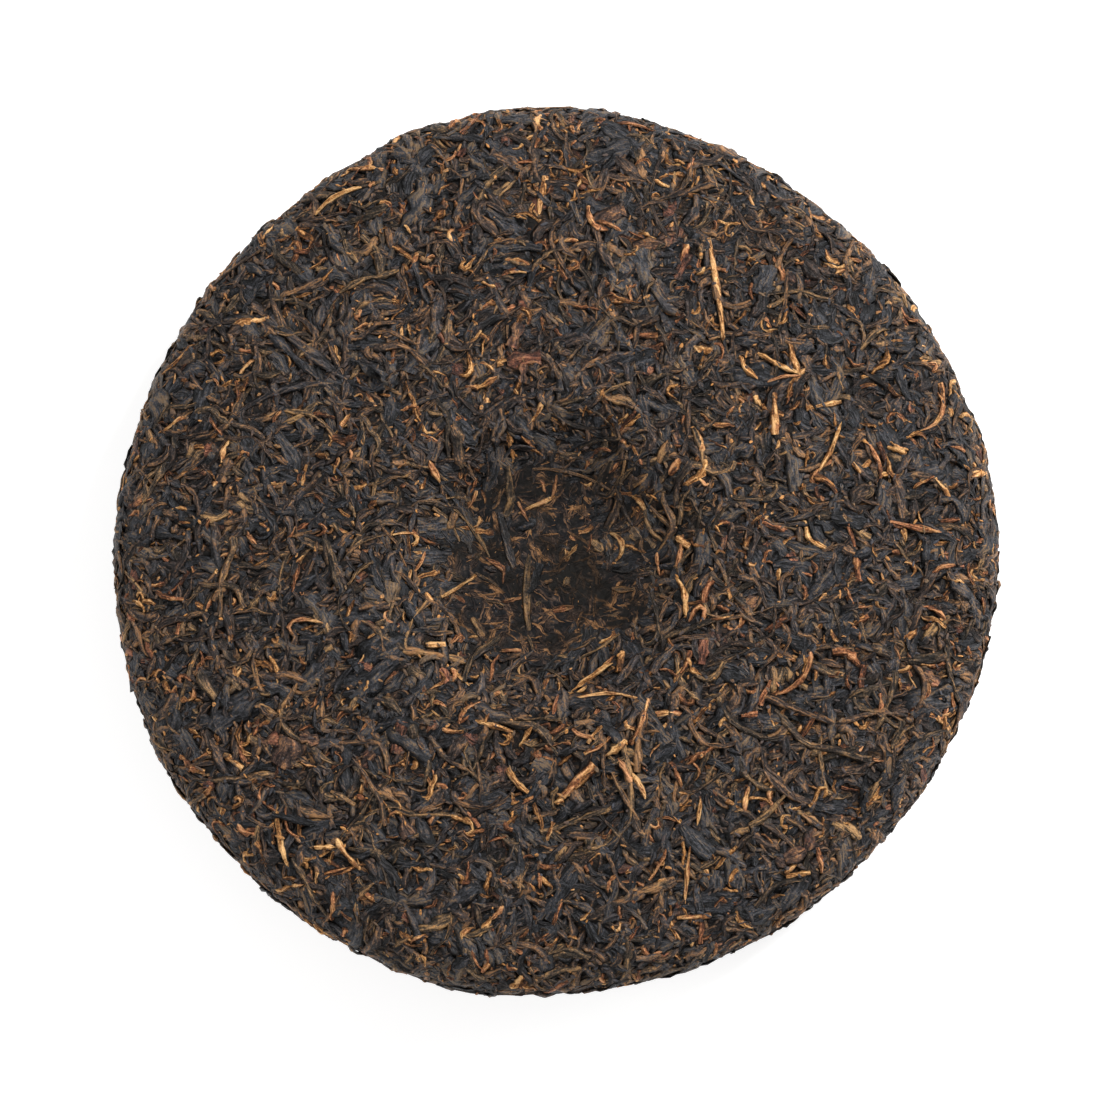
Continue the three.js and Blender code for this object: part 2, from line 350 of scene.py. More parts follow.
def seen_place(skin, across, up):
    """The place on the flat layout that the camera sees this far right of and above its picture's middle."""
    picture_up = Vector((0, math.sin(CAMERA_ELEVATION), math.cos(CAMERA_ELEVATION)))
    ray = CAMERA_AIM + Vector((across, 0, 0)) + up * picture_up - CAMERA_PLACE
    widest = skin.reach.argmax() + 1
    height = skin.cake.thickness
    for _ in range(SIGHT_ROUNDS):
        hit = CAMERA_PLACE + ray * (height - CAMERA_PLACE.z) / ray.z
        x = hit.x + skin.middle[0]
        y = hit.y + skin.middle[1]
        turn = math.atan2(y, x)
        reach = math.hypot(x, y) / (1 + outline_swell(turn) / skin.cake.radius)
        run = np.interp(reach, skin.reach[:widest], skin.run[:widest])
        place = (run * math.cos(turn), run * math.sin(turn))
        height = skin.smooth_place(*place)[2]
    return place


# The kinds of leaf


class Kind(NamedTuple):
    """One kind of leaf. Its length and width are shares of the usual leaf's, and turns are in radians."""

    name: str
    share: float  # of all the leaves
    length: float
    width: float
    spread: float  # of the lengths, as the deviation of their logarithm
    thickness: float  # share of half the width
    fold: float  # height of the folds along it, as a share of half the width
    bend: float  # even bend over the length
    wobble: float  # bend to and fro
    hook: float  # more bend towards the far end, on some
    roll: float  # turn about its own line
    tip: float  # least width of an end
    spans: int
    section: int  # points in its section
    order: float  # the greater, the later it is laid


KINDS = (
    Kind("broad_leaves", 0.19, 0.95, 1.80, 0.58, 0.15, 0.24, 0.4, 0.12, 0.0, 0.08, 0.45, 5, 7, -0.25),
    Kind("black_leaves", 0.23, 0.85, 1.00, 0.42, 0.38, 0.34, 0.7, 0.25, 0.3, 0.18, 0.30, 5, 5, 0.0),
    Kind("brown_leaves", 0.21, 0.85, 1.00, 0.42, 0.37, 0.34, 0.7, 0.25, 0.3, 0.18, 0.30, 5, 5, 0.0),
    Kind("olive_leaves", 0.12, 0.90, 0.95, 0.42, 0.35, 0.32, 0.7, 0.25, 0.3, 0.18, 0.30, 5, 5, 0.03),
    Kind("stems", 0.06, 2.00, 0.66, 0.34, 0.62, 0.30, 0.9, 0.30, 0.8, 0.15, 0.50, 9, 5, 0.3),
    Kind("golden_buds", 0.12, 0.80, 0.66, 0.42, 0.60, 0.28, 1.3, 0.40, 2.2, 0.25, 0.15, 7, 5, 0.12),
    Kind("stalks", 0.05, 0.66, 0.62, 0.42, 0.50, 0.22, 0.3, 0.10, 0.0, 0.15, 0.55, 4, 5, 0.06),
    Kind("flakes", 0.015, 0.55, 1.40, 0.42, 0.12, 0.10, 0.2, 0.10, 0.0, 0.08, 0.55, 4, 7, 0.02),
)

# The pieces that stand out, by kind, as the camera sees them: millimetres right of and above the
# picture's middle, heading in degrees, length and width in millimetres, and in degrees the bend over
# the length and the hook of the far end
STANDOUT_LEAVES = {
    "golden_buds": (
        (-47.5, 78.5, 27, 12.5, 1.8, -40, 0),
        (10, 73.5, -62, 8, 2.0, 60, 40),
        (13, 72.5, -20, 6, 1.5, -30, 0),
        (51, 41.5, -26, 11, 1.6, 20, 0),
        (52, 38.5, 12, 8, 1.4, -25, 0),
        (86, 30.5, 54, 12, 1.8, 75, 30),
        (77, 22.5, -20, 4, 2.2, 0, 0),
        (62.5, 23, 64, 13, 1.8, 18, 0),
        (-55, -16.5, 176, 12, 1.7, 20, 190),
        (-60, -63.4, -80, 14, 1.6, 20, 0),
        (-49.9, -66, 0, 5, 1.7, 10, 0),
        (-45.2, -67.6, -50, 8, 1.8, 15, 0),
        (55.5, -27.5, 55, 13.5, 2.0, 80, 0),
        (2.9, -55, 30, 4, 1.6, 10, 0),
        (-7.5, -51, -50, 7.5, 1.8, 35, 0),
        (-12.2, -39, -18, 9, 1.6, 0, 0),
        (-5.5, -41.4, 55, 5, 1.8, 0, 0),
        (20.3, -37.7, 68, 10, 1.8, 25, 0),
        (14.6, -44.1, 35, 5.5, 2.2, 20, 0),
        (16.6, -48.8, -61, 6, 1.8, -20, 0),
        (19.9, -52.3, -63, 6.2, 1.9, -25, 0),
        (33.2, -58.1, 80, 6, 1.6, 0, 0),
        (24.2, -69.8, 60, 8, 1.2, 20, 0),
        (30.6, -72.2, 85, 12.5, 1.5, -10, 0),
        (43.7, -55.2, 80, 6, 1.6, -30, 0),
        (53.8, -70.7, 40, 3.5, 1.6, 0, 0),
        (55.4, -72.2, 5, 5.5, 1.7, 0, 0),
        (60.3, -69.1, -75, 6, 1.8, 0, 0),
        (-3, 10, 14, 9, 1.7, -40, 30),
        (1, 14, 75, 5, 1.2, 25, 0),
        (-31, 3, 5, 8, 1.4, -20, -150),
        (28.5, 0, 80, 7, 1.5, 10, 0),
        (-20, -8, 37, 9, 1.4, 10, 0),
        (-8.5, -11, 12, 4.4, 1.6, 15, 0),
        (-6, 8.5, -62, 5, 1.5, 0, 0),
        (4.5, -0.5, 45, 5, 1.5, 20, 0),
        (15, 1, 100, 8, 1.6, 130, 0),
        (9, -27.5, 35, 11, 1.8, -15, 0),
        (19.5, 10.5, -50, 4.2, 1.6, -60, 0),
        (23.5, -3, -85, 5.2, 1.4, 0, 0),
        (29, -9.5, -75, 9.5, 2.0, -40, 0),
        (27.5, 18.5, 55, 4.2, 2.0, 0, 0),
        (-25.5, 17.5, -60, 6.2, 2.0, 10, 0),
        (-17, 11, 62, 4.4, 1.4, 20, 0),
        (-28, -2, 68, 6, 1.6, 15, 0),
    ),
    "olive_leaves": (
        (-52.7, -58.3, -15, 9, 2.6, 20, 0),
        (-46.1, -55, -28, 6, 2.3, 0, 0),
        (19.5, -45.4, 85, 7.5, 2.3, 0, 0),
        (16.6, -54.7, -62, 12, 1.5, 10, 0),
        (24.2, -74.7, 20, 7.6, 3.0, 5, 0),
        (41.9, -62.7, 15, 5, 2.8, 0, 0),
        (49, -57.6, 40, 11.6, 1.7, 8, 0),
        (-5, -9.5, -88, 16.5, 2.3, 16, 0),
        (-14, -6.5, -31, 6, 1.6, 0, 0),
        (-17.5, 4.5, -52, 15, 1.1, -20, 0),
        (10.5, 1, -50, 3.4, 2.6, 0, 0),
        (16, -8.5, -5, 5.2, 1.8, 30, 0),
        (-0.5, -7, 20, 2.2, 1.6, 0, 0),
        (3.5, -7, 60, 2.2, 1.7, 0, 0),
        (10.5, -21.5, 32, 11.5, 1.3, 15, 0),
        (5.5, 16, -17, 19, 1.3, -25, 0),
        (24, 7.5, -50, 6.2, 1.3, 0, 0),
        (16, 17, 80, 8, 1.3, 0, 0),
        (20, 15.5, 30, 4.2, 2.0, 0, 0),
        (-21.5, 6.5, 70, 3.8, 3.0, 0, 0),
        (-16, -17, -60, 5, 2.6, 0, 0),
    ),
    "brown_leaves": (
        (-54, 45, -44, 23, 3.0, 12, 0),
        (-60, 34.5, 17, 25, 1.9, -40, 0),
        (53.2, -53.2, -35, 15, 2.2, 50, 0),
        (-9.6, 2.2, -78, 13, 2.6, 8, 0),
        (19, -5.5, 5, 5.6, 2.8, 0, 0),
    ),
    "black_leaves": (
        (-56, 42.5, -40, 20, 2.8, 8, 0),
    ),
    "broad_leaves": (
        (32.6, -64.7, -45, 9, 5.0, 10, 0),
    ),
    "stalks": (
        (37, 58.5, -80, 23, 1.6, 5, 0),
        (50, 30.5, 88, 9.5, 1.8, 0, 0),
        (82.5, 5, -10, 14, 1.5, 15, 0),
        (61, 32.5, 10, 8, 1.6, 10, 0),
        (6.2, -51.4, 42, 10, 2.6, 0, 0),
        (32.1, -81.5, 3, 7.5, 1.2, 0, 0),
        (-8.5, -22, 2, 4.2, 1.8, 0, 0),
        (-78.7, -49, -10, 3.4, 2.6, 0, 0),
        (-14.5, 4, -5, 4.2, 2.0, 0, 0),
        (8, 4.5, 25, 3.6, 1.4, 60, 0),
        (3, -13, 12, 4.6, 1.7, 0, 0),
        (-25, -20.5, 3, 4, 2.0, 0, 0),
        (12, -32, -3, 15, 1.2, -30, 0),
        (29, 2, -40, 3.4, 2.0, 0, 0),
    ),
    "flakes": (
        (-7.7, 48, 70, 5.6, 4.2, 0, 0),
        (-5.8, 42.5, 5, 7.4, 3.8, 0, 0),
        (-6, 39.4, 85, 4, 2.2, 0, 0),
        (-58.7, -45, 60, 6.5, 5.5, 0, 0),
        (-62, -42.3, 20, 4, 3.4, 0, 0),
        (-53.6, -41.9, -20, 4.5, 3.2, 0, 0),
        (-33.5, -41.5, 80, 7, 3.6, 0, 0),
        (54.5, -67.5, 20, 5, 4, 0, 0),
        (34, -22.5, 85, 5.5, 2.8, 0, 0),
        (85, -28.5, -35, 4.4, 3, 0, 0),
    ),
}
STANDOUT_TONES = {
    "broad_leaves": 0.5, "black_leaves": 0.5, "brown_leaves": 0.65, "olive_leaves": 1.1, "stems": 1.0,
    "golden_buds": 1.05, "stalks": 0.95, "flakes": 0.7,
}
STANDOUT_CALM = 0.3  # their kinks and roll, as a share of other leaves'
STANDOUT_RISE = 0.03 * MM
LAST = 10.0  # their place in the order of laying

SIZE_LIMITS = (0.4, 2.4)
WIDTH_GROWTH = 0.4  # power of a leaf's size that its width follows
WIDTH_SPREAD = 0.22
LARGE_LATER = 0.2
ALIKE_SHARE = 0.35  # of the leaves, that follow the drift of their neighbours
ALIKE_SPREAD = 0.7
HOOKED_SHARE = 0.45  # of the leaves
HOOK_START = 0.45  # share of the length
KINK = 0.22
TIP_SPREAD = 0.45
TAPER_POWER = 2.5
EDGE_SPREAD = 0.24
EDGE_LIMITS = (0.45, 1.4)
TWIST_SHARE = 0.5  # of the roll, from end to end
SUNK_SHARES = (-0.5, 0.05)  # of half the thickness
MASH_SINK = 0.22 * MM
MASH_FLATNESS = 0.78
PLACE_JITTER = 0.35  # of the distance between places
PAINTED_LIGHT_AND_RUBBED_PATCHES = (
    # place, turn, reach along and across, how much lighter
    # painted light: the dimple's lower-left wall, where the key light falls
    ((-22 * MM, -23 * MM), math.radians(-38), (20 * MM, 9 * MM), 0.55),
    ((17 * MM, -45 * MM), math.radians(60), (9 * MM, 7 * MM), 0.5),
)
# A lighter rim: partly leaves rubbed brown, partly painted light for the light that the rim catches from the
# floor and the lamps
RUBBED_AND_LIT_RIM = (0.86, 0.97)  # shares of the way to the widest line
RIM_GAIN = 0.3


class Batch(NamedTuple):
    """The leaves of one kind on one side: their stations on the flat layout, and each leaf's values."""

    kind: Kind
    u: np.ndarray
    v: np.ndarray
    along: np.ndarray
    half_width: np.ndarray
    flatness: np.ndarray
    mash: np.ndarray
    roll: np.ndarray
    tone: np.ndarray
    seed: np.ndarray
    order: np.ndarray
    rise: np.ndarray

    def thickness(self):
        return self.half_width * self.kind.thickness * self.flatness

    def keep(self, chosen):
        return self._replace(**{name: getattr(self, name)[chosen] for name in self._fields if name != "kind"})


def even_places(count, reach, draw):
    """Places spread evenly over a disc, in a shuffled order."""
    number = np.arange(count) + 0.5
    turn = number * math.pi * (3 - math.sqrt(5))
    away = reach * np.sqrt(number / count)
    jitter = draw.normal(0, PLACE_JITTER * reach / math.sqrt(count), (count, 2))
    places = np.stack([away * np.cos(turn), away * np.sin(turn)], axis=-1) + jitter
    return draw.permutation(places)


def drift(places, seed):
    """A heading that changes slowly over the cake, because neighbouring leaves tend to lie alike."""
    flat = np.concatenate([places, np.zeros((len(places), 1))], axis=1)
    return Ripples(seed, *HEADING_RIPPLES).at(flat)


def rubbed_and_painted_light_share(places, skin):
    """How much lighter the leaves are along the rim and in a few patches: partly leaves rubbed lighter,
    partly painted light on the rim and on the dimple's lower-left wall, which faces the key light.
    """
    widest = skin.run[skin.reach.argmax()]
    # Lighter towards the rim: partly rubbed leaves, partly painted light
    share = RIM_GAIN * smoothstep(*RUBBED_AND_LIT_RIM, np.hypot(places[:, 0], places[:, 1]) / widest)
    if skin.upper:
        # Lighter patches; the first is painted light on the dimple's wall that faces the key light
        for middle, turn, reach, gain in PAINTED_LIGHT_AND_RUBBED_PATCHES:
            away = places - np.array(skin.middle) - np.array(middle)
            along = away @ np.array([math.cos(turn), math.sin(turn)])
            across = away @ np.array([-math.sin(turn), math.cos(turn)])
            share += gain * np.exp(-((along / reach[0]) ** 2) - (across / reach[1]) ** 2)
    return share


def leaf_batch(kind, places, skin, leaves, draw, standouts=()):
    """Draws the leaves of one kind at the given places, and adds the ones that stand out."""
    count = len(places)
    size = np.clip(np.exp(draw.normal(0, kind.spread, count)), *SIZE_LIMITS)
    length = leaves.length * kind.length * size
    width = leaves.width * kind.width * size ** WIDTH_GROWTH * np.exp(draw.normal(0, WIDTH_SPREAD, count))
    order = draw.random(count) + kind.order + LARGE_LATER * np.log(size)
    alike = draw.random(count) < ALIKE_SHARE
    alike_heading = drift(places, leaves.seed + 3) + draw.normal(0, ALIKE_SPREAD, count)
    heading = np.where(alike, alike_heading, draw.uniform(0, 2 * math.pi, count))
    bend = draw.normal(0, kind.bend, count)
    wobble = draw.normal(0, kind.wobble, count)
    hook = kind.hook * draw.normal(0, 1, count) * (draw.random(count) < HOOKED_SHARE)
    for x, y, turn, long, wide, bow, crook in standouts:
        places = np.concatenate([places, [seen_place(skin, x * MM, y * MM)]])
        length = np.append(length, long * MM)
        width = np.append(width, wide * MM)
        heading = np.append(heading, math.radians(turn))
        bend = np.append(bend, math.radians(bow))
        wobble = np.append(wobble, 0)
        hook = np.append(hook, math.radians(crook))
        order = np.append(order, LAST)
    total = len(places)
    is_standout = np.arange(total) >= count
    share = np.linspace(0, 1, kind.spans + 1)
    turn = heading[:, None] + bend[:, None] * (share - 0.5)
    turn = turn + wobble[:, None] * np.sin(2 * math.pi * share)
    turn = turn + hook[:, None] * smoothstep(HOOK_START, 1, share)
    turn += draw.normal(0, KINK, turn.shape) * np.where(is_standout, STANDOUT_CALM, 1)[:, None]
    middle_turn = (turn[:, 1:] + turn[:, :-1]) / 2
    step = length[:, None] / kind.spans
    u = np.concatenate([np.zeros((total, 1)), np.cumsum(np.cos(middle_turn) * step, axis=1)], axis=1)
    v = np.concatenate([np.zeros((total, 1)), np.cumsum(np.sin(middle_turn) * step, axis=1)], axis=1)
    u += places[:, :1] - u.mean(axis=1, keepdims=True)
    v += places[:, 1:] - v.mean(axis=1, keepdims=True)
    near_tip, far_tip = draw.uniform(kind.tip, kind.tip + TIP_SPREAD, (2, total, 1))
    full = (1 - (1 - near_tip) * (1 - share) ** TAPER_POWER) * (1 - (1 - far_tip) * share ** TAPER_POWER)
    full = full * np.clip(1 + draw.normal(0, EDGE_SPREAD, full.shape), *EDGE_LIMITS)
    roll = draw.normal(0, kind.roll, (total, 1))
    roll = roll + draw.normal(0, TWIST_SHARE * kind.roll, (total, 1)) * (2 * share - 1)
    roll[is_standout] *= STANDOUT_CALM
    mash = skin.mash(u, v)
    sunk = draw.uniform(*SUNK_SHARES, total) * kind.thickness * width / 2
    sunk -= MASH_SINK * mash.mean(axis=1) * draw.random(total)
    tone = np.where(is_standout, STANDOUT_TONES[kind.name], draw.random(total))
    return Batch(
        kind=kind,
        u=u,
        v=v,
        along=length[:, None] * share,
        half_width=full * width[:, None] / 2,
        flatness=1 - MASH_FLATNESS * mash,
        mash=mash,
        roll=roll,
        # Lighter along the rim and in patches: partly rubbed leaves, partly painted light
        tone=tone + rubbed_and_painted_light_share(places, skin),
        seed=draw.random(total),
        order=order,
        rise=np.where(is_standout, STANDOUT_RISE, sunk),
    )


# Laying the leaves


CELL = 0.4 * MM
CEILING_MASH = 0.8  # how much evener the pressed surface is where it is mashed
REST_DROP = 0.1 * MM
REST_FADE = 1.5
USUAL_FIRM = 0.42  # how far a leaf rests on the highest spots under it, not on their mean
STANDOUT_FIRM = 0.9
STIFFNESS = 0.25  # pull of each neighbouring station
TIP_DROP = 0.4
PRESSING = 0.85  # how much is pressed down of what stands above the ceiling
UNDER_SHARES = (-0.6, 0, 0.6)  # of half the width
COVER_REACH = 0.9
NARROW = 1.2 * MM
LEVEL_REACH = 3  # cells
SHOW_DEPTH = 0.06 * MM
SHOW_SHARE = 0.07  # of a leaf that has to show, or else it is left out
OPEN_START = 1.1
OPEN_DEPTH = 0.32 * MM
BED_MASH = 0.9  # how much nearer to the skin the core lies where the leaves are mashed


def blurred(grid, reach):
    """The mean over a square of cells round each cell."""
    padded = np.pad(grid, ((reach + 1, reach), (reach + 1, reach)), mode="edge")
    total = padded.cumsum(axis=0).cumsum(axis=1)
    side = 2 * reach + 1
    sums = total[side:, side:] - total[:-side, side:] - total[side:, :-side] + total[:-side, :-side]
    return sums / side ** 2


class Bed:
    """The heights of what lies on one side of the cake, on a square grid over the flat layout."""

    def __init__(self, skin, leaves, reach):
        self.skin = skin
        self.cells = int(2 * reach / CELL) + 3
        ticks = (np.arange(self.cells) - self.cells // 2) * CELL
        grid_u, grid_v = np.meshgrid(ticks, ticks)
        mash = skin.mash(grid_u, grid_v)
        self.height = bed_floor(leaves, skin.upper, mash).ravel()
        flat = np.stack([grid_u, grid_v, np.zeros_like(grid_u)], axis=-1)
        ceiling = Ripples(*CEILING_RIPPLES).at(flat) * (1 - CEILING_MASH * mash)
        if not skin.upper:
            rest = FLAT_SHARE * skin.cake.radius
            ceiling -= REST_DROP * (1 - smoothstep(rest, REST_FADE * rest, np.hypot(grid_u, grid_v)))
        self.ceiling = ceiling.ravel()
        self.level = None

    def index(self, u, v):
        column = np.clip(np.round(u / CELL).astype(int) + self.cells // 2, 0, self.cells - 1)
        row = np.clip(np.round(v / CELL).astype(int) + self.cells // 2, 0, self.cells - 1)
        return row * self.cells + column

    def lay(self, batches):
        """Lays the leaves one after another, each over what already lies there, and presses them level."""
        shapes = [self.footprints(batch) for batch in batches]
        queue = [(batch.order[leaf], number, leaf) for number, batch in enumerate(batches)
                 for leaf in range(len(batch.order))]
        queue.sort()
        lifts = [np.zeros_like(batch.u) for batch in batches]
        thicks = [batch.thickness() for batch in batches]
        for _, number, leaf in queue:
            under, cover, blend, rounding = shapes[number]
            thick = thicks[number][leaf]
            support = self.height[under[leaf]]
            firm = STANDOUT_FIRM if batches[number].order[leaf] == LAST else USUAL_FIRM
            rest = firm * support.max(axis=0) + (1 - firm) * support.mean(axis=0)
            stiff = rest.copy()
            stiff[1:-1] = STIFFNESS * rest[:-2] + (1 - 2 * STIFFNESS) * rest[1:-1] + STIFFNESS * rest[2:]
            lift = stiff + batches[number].rise[leaf]
            lift[[0, -1]] -= TIP_DROP * thick.max()
            lift -= PRESSING * np.maximum(lift + thick - self.ceiling[under[leaf, 1]], 0)
            lifts[number][leaf] = lift
            spots = cover[leaf]
            surface = (lift @ blend)[:, None] + (thick @ blend)[:, None] * rounding
            self.height[spots] = np.maximum(self.height[spots], surface)
        self.level = blurred(self.height.reshape(self.cells, self.cells), LEVEL_REACH).ravel()
        return [self.visible(*laid) for laid in zip(batches, lifts, thicks, shapes)]

    def visible(self, batch, lifts, thick, shape):
        """Drops the leaves that are buried by later ones."""
        _, cover, blend, rounding = shape
        surface = (lifts @ blend)[..., None] + (thick @ blend)[..., None] * rounding
        shows = (surface > self.height[cover] - SHOW_DEPTH).mean(axis=(1, 2)) > SHOW_SHARE
        return batch.keep(shows), lifts[shows]

    def footprints(self, batch):
        """For each leaf of a batch the cells under its stations and the cells that it covers."""
        along_u = np.gradient(batch.u, axis=1)
        along_v = np.gradient(batch.v, axis=1)
        size = np.hypot(along_u, along_v)
        side_u = -along_v / size * batch.half_width
        side_v = along_u / size * batch.half_width
        under = [self.index(batch.u + share * side_u, batch.v + share * side_v) for share in UNDER_SHARES]
        stations = batch.u.shape[1]
        samples = int(batch.along.max() / CELL) + 2
        spots = np.linspace(0, stations - 1, samples)
        blend = np.maximum(0, 1 - np.abs(spots[None, :] - np.arange(stations)[:, None]))
        across = np.linspace(-COVER_REACH, COVER_REACH, 5 if batch.half_width.mean() < NARROW else 9)
        rows = (batch.u @ blend)[..., None] + (side_u @ blend)[..., None] * across
        columns = (batch.v @ blend)[..., None] + (side_v @ blend)[..., None] * across
        return np.stack(under, axis=1), self.index(rows, columns), blend, np.sqrt(1 - across ** 2)

    def openness(self, batch, lifts):
        """1 where a leaf lies open to the light, 0 deep between its neighbours. The leaf material darkens its
        colour by it, as painted shade.
        """
        top = lifts + batch.thickness()
        depth = self.level[self.index(batch.u, batch.v)] - top
        return np.clip(OPEN_START - depth / OPEN_DEPTH, 0, 1)


def bed_floor(leaves, upper, mash):
    """How high the core reaches: under the leaf bed, but nearly to the skin where leaves are mashed."""
    return -(leaves.upper_bed if upper else leaves.lower_bed) * (1 - BED_MASH * mash)


# Meshes and Geometry Nodes


def new_node(tree, kind, values=None, **settings):
    """Adds a node, sets its properties, and sets or links its inputs."""
    node = tree.nodes.new(kind)
    for name, value in settings.items():
        setattr(node, name, value)
    for name, value in (values or {}).items():
        if isinstance(value, bpy.types.NodeSocket):
            tree.links.new(value, node.inputs[name])
        else:
            node.inputs[name].default_value = value
    return node


def calc(tree, operation, *values, clamp=False):
    """One Math node on numbers or sockets."""
    inputs = dict(enumerate(values))
    return new_node(tree, "ShaderNodeMath", inputs, operation=operation, use_clamp=clamp).outputs[0]


def off_middle(tree, value):
    """How far a value from 0 to 1 is from its middle."""
    return calc(tree, "SUBTRACT", value, 0.5)


def scaled(tree, vector, size):
    """A vector times one number."""
    return new_node(tree, "ShaderNodeVectorMath", {0: vector, "Scale": size}, operation="SCALE").outputs[0]


def vector_calc(tree, operation, first, second):
    return new_node(tree, "ShaderNodeVectorMath", {0: first, 1: second}, operation=operation).outputs[0]


def stretch(tree, value, low, high, to_low=0.0, to_high=1.0):
    """Maps a value from one range to another, and stops at its ends."""
    limits = {"Value": value, "From Min": low, "From Max": high, "To Min": to_low, "To Max": to_high}
    return new_node(tree, "ShaderNodeMapRange", limits).outputs[0]


def noise(tree, place, scale, detail=2.0, roughness=0.5):
    values = {"Vector": place, "Scale": scale, "Detail": detail, "Roughness": roughness}
    return new_node(tree, "ShaderNodeTexNoise", values).outputs[0]


def new_group(name, kind, inputs, outputs):
    """Starts a node group: its inputs are name, kind and default, its outputs name and kind."""
    tree = bpy.data.node_groups.new(name, kind)
    for label, socket_type, default in inputs:
        socket = tree.interface.new_socket(label, in_out="INPUT", socket_type=f"NodeSocket{socket_type}")
        if default is not None:
            socket.default_value = default
    for label, socket_type in outputs:
        tree.interface.new_socket(label, in_out="OUTPUT", socket_type=f"NodeSocket{socket_type}")
    return tree, new_node(tree, "NodeGroupInput").outputs


def geometry_group(name, inputs):
    """Starts a Geometry Nodes tree that takes and gives a geometry, and sets a material."""
    usual = (("Geometry", "Geometry", None), ("Material", "Material", None))
    return new_group(name, "GeometryNodeTree", usual + inputs, (("Geometry", "Geometry"),))


def end_geometry_group(tree, given, geometry, smooth=True):
    shaded = new_node(tree, "GeometryNodeSetShadeSmooth", {"Geometry": geometry, "Shade Smooth": smooth})
    real = new_node(tree, "GeometryNodeRealizeInstances", {"Geometry": shaded.outputs[0]})
    values = {"Geometry": real.outputs[0], "Material": given["Material"]}
    done = new_node(tree, "GeometryNodeSetMaterial", values)
    new_node(tree, "NodeGroupOutput", {"Geometry": done.outputs[0]})
    return tree


def named_value(tree, name, kind="FLOAT"):
    node = new_node(tree, "GeometryNodeInputNamedAttribute", {"Name": name}, data_type=kind)
    return node.outputs["Attribute"]


def keep_on_points(tree, geometry, name, value):
    values = {"Geometry": geometry, "Name": name, "Value": value}
    node = new_node(tree, "GeometryNodeStoreNamedAttribute", values, data_type="FLOAT", domain="POINT")
    return node.outputs[0]


FOLD_LENGTH = 3.5 * MM
FOLD_LEAN = 1.2  # most slant of the folds, to either side
FOLD_RANGE = (0.32, 0.68)
FIBRES_TO_A_RIB = 2.2
FOLD_SEEDS = 91.0  # how far apart in the noise one leaf's folds may be from another's
FIBRE_SEEDS = 57.0
FINE_ROUGHNESS = 0.65
FIBRE_ROUGHNESS = 0.6


def leaf_place(tree, side, along, seed, seeds):
    """Where a point of a leaf is looked up in a noise, which is a stretch of its own for each leaf."""
    own = calc(tree, "MULTIPLY", seed, seeds)
    return new_node(tree, "ShaderNodeCombineXYZ", {"X": side, "Y": along, "Z": own}).outputs[0]


def fold_noise(tree, across, along, seed, ribs):
    """The folds that run slanting along a leaf, from 0 to 1. The sweep and the material share them."""
    lean = calc(tree, "MULTIPLY_ADD", seed, 2 * FOLD_LEAN, -FOLD_LEAN)
    slant = calc(tree, "MULTIPLY", along, lean)
    side = calc(tree, "MULTIPLY_ADD", across, ribs, slant)
    place = leaf_place(tree, side, along, seed, FOLD_SEEDS)
    return stretch(tree, noise(tree, place, 1.0, 1.0), *FOLD_RANGE)


def fibre_noise(tree, across, along, seed, ribs):
    """Fine fibres along a leaf, about two to each fold."""
    side = calc(tree, "MULTIPLY", across, calc(tree, "MULTIPLY", ribs, FIBRES_TO_A_RIB))
    place = leaf_place(tree, side, along, seed, FIBRE_SEEDS)
    return noise(tree, place, 1.0, 2.0, FIBRE_ROUGHNESS)


def sweep_tree():
    """Sweeps a leaf's section along each laid path, raises its folds, and flattens where it is mashed."""
    tree, given = geometry_group("Leaf Sweep", (
        ("Section Points", "Int", 6),
        ("Thickness", "Float", 0.4),
        ("Ribs", "Float", 1.7),
        ("Fold", "Float", 0.3),
    ))
    normal = named_value(tree, "skin_normal", "FLOAT_VECTOR")
    half_width = named_value(tree, "half_width")
    path = new_node(tree, "GeometryNodeMeshToCurve", {"Mesh": given["Geometry"]})
    turned = new_node(
        tree, "GeometryNodeSetCurveNormal", {"Curve": path.outputs["Curve"], "Normal": normal}, mode="FREE",
    )

    ring = new_node(tree, "GeometryNodeCurvePrimitiveCircle", {"Resolution": given["Section Points"]})
    number = new_node(tree, "GeometryNodeInputIndex").outputs[0]
    last = calc(tree, "SUBTRACT", given["Section Points"], 1.0)
    across = calc(tree, "MULTIPLY_ADD", calc(tree, "DIVIDE", number, last), 2.0, -1.0)
    inside = calc(tree, "SUBTRACT", 1.0, calc(tree, "MULTIPLY", across, across), clamp=True)
    up = calc(tree, "MULTIPLY", calc(tree, "SQRT", inside), given["Thickness"])
    spot = new_node(tree, "ShaderNodeCombineXYZ", {"X": up, "Y": across, "Z": 0.0}).outputs[0]
    section = keep_on_points(tree, ring.outputs["Curve"], "leaf_up", up)
    section = keep_on_points(tree, section, "leaf_across", across)
    section = new_node(tree, "GeometryNodeSetPosition", {"Geometry": section, "Position": spot})

    swept = new_node(tree, "GeometryNodeCurveToMesh", {
        "Curve": turned.outputs["Curve"],
        "Profile Curve": section.outputs[0],
        "Scale": half_width,
        "Fill Caps": True,
    })
    own = [named_value(tree, name) for name in ("leaf_across", "leaf_along", "leaf_seed")]
    folds = fold_noise(tree, *own, given["Ribs"])
    flatness = named_value(tree, "flatness")
    pressed = calc(tree, "MULTIPLY", named_value(tree, "leaf_up"), calc(tree, "SUBTRACT", flatness, 1.0))
    raised = calc(tree, "MULTIPLY", off_middle(tree, folds), given["Fold"])
    raised = calc(tree, "MULTIPLY", raised, flatness)
    change = calc(tree, "MULTIPLY", calc(tree, "ADD", pressed, raised), half_width)
    offset = scaled(tree, normal, change)
    shaped = new_node(tree, "GeometryNodeSetPosition", {"Geometry": swept.outputs["Mesh"], "Offset": offset})
    return end_geometry_group(tree, given, shaped.outputs[0])


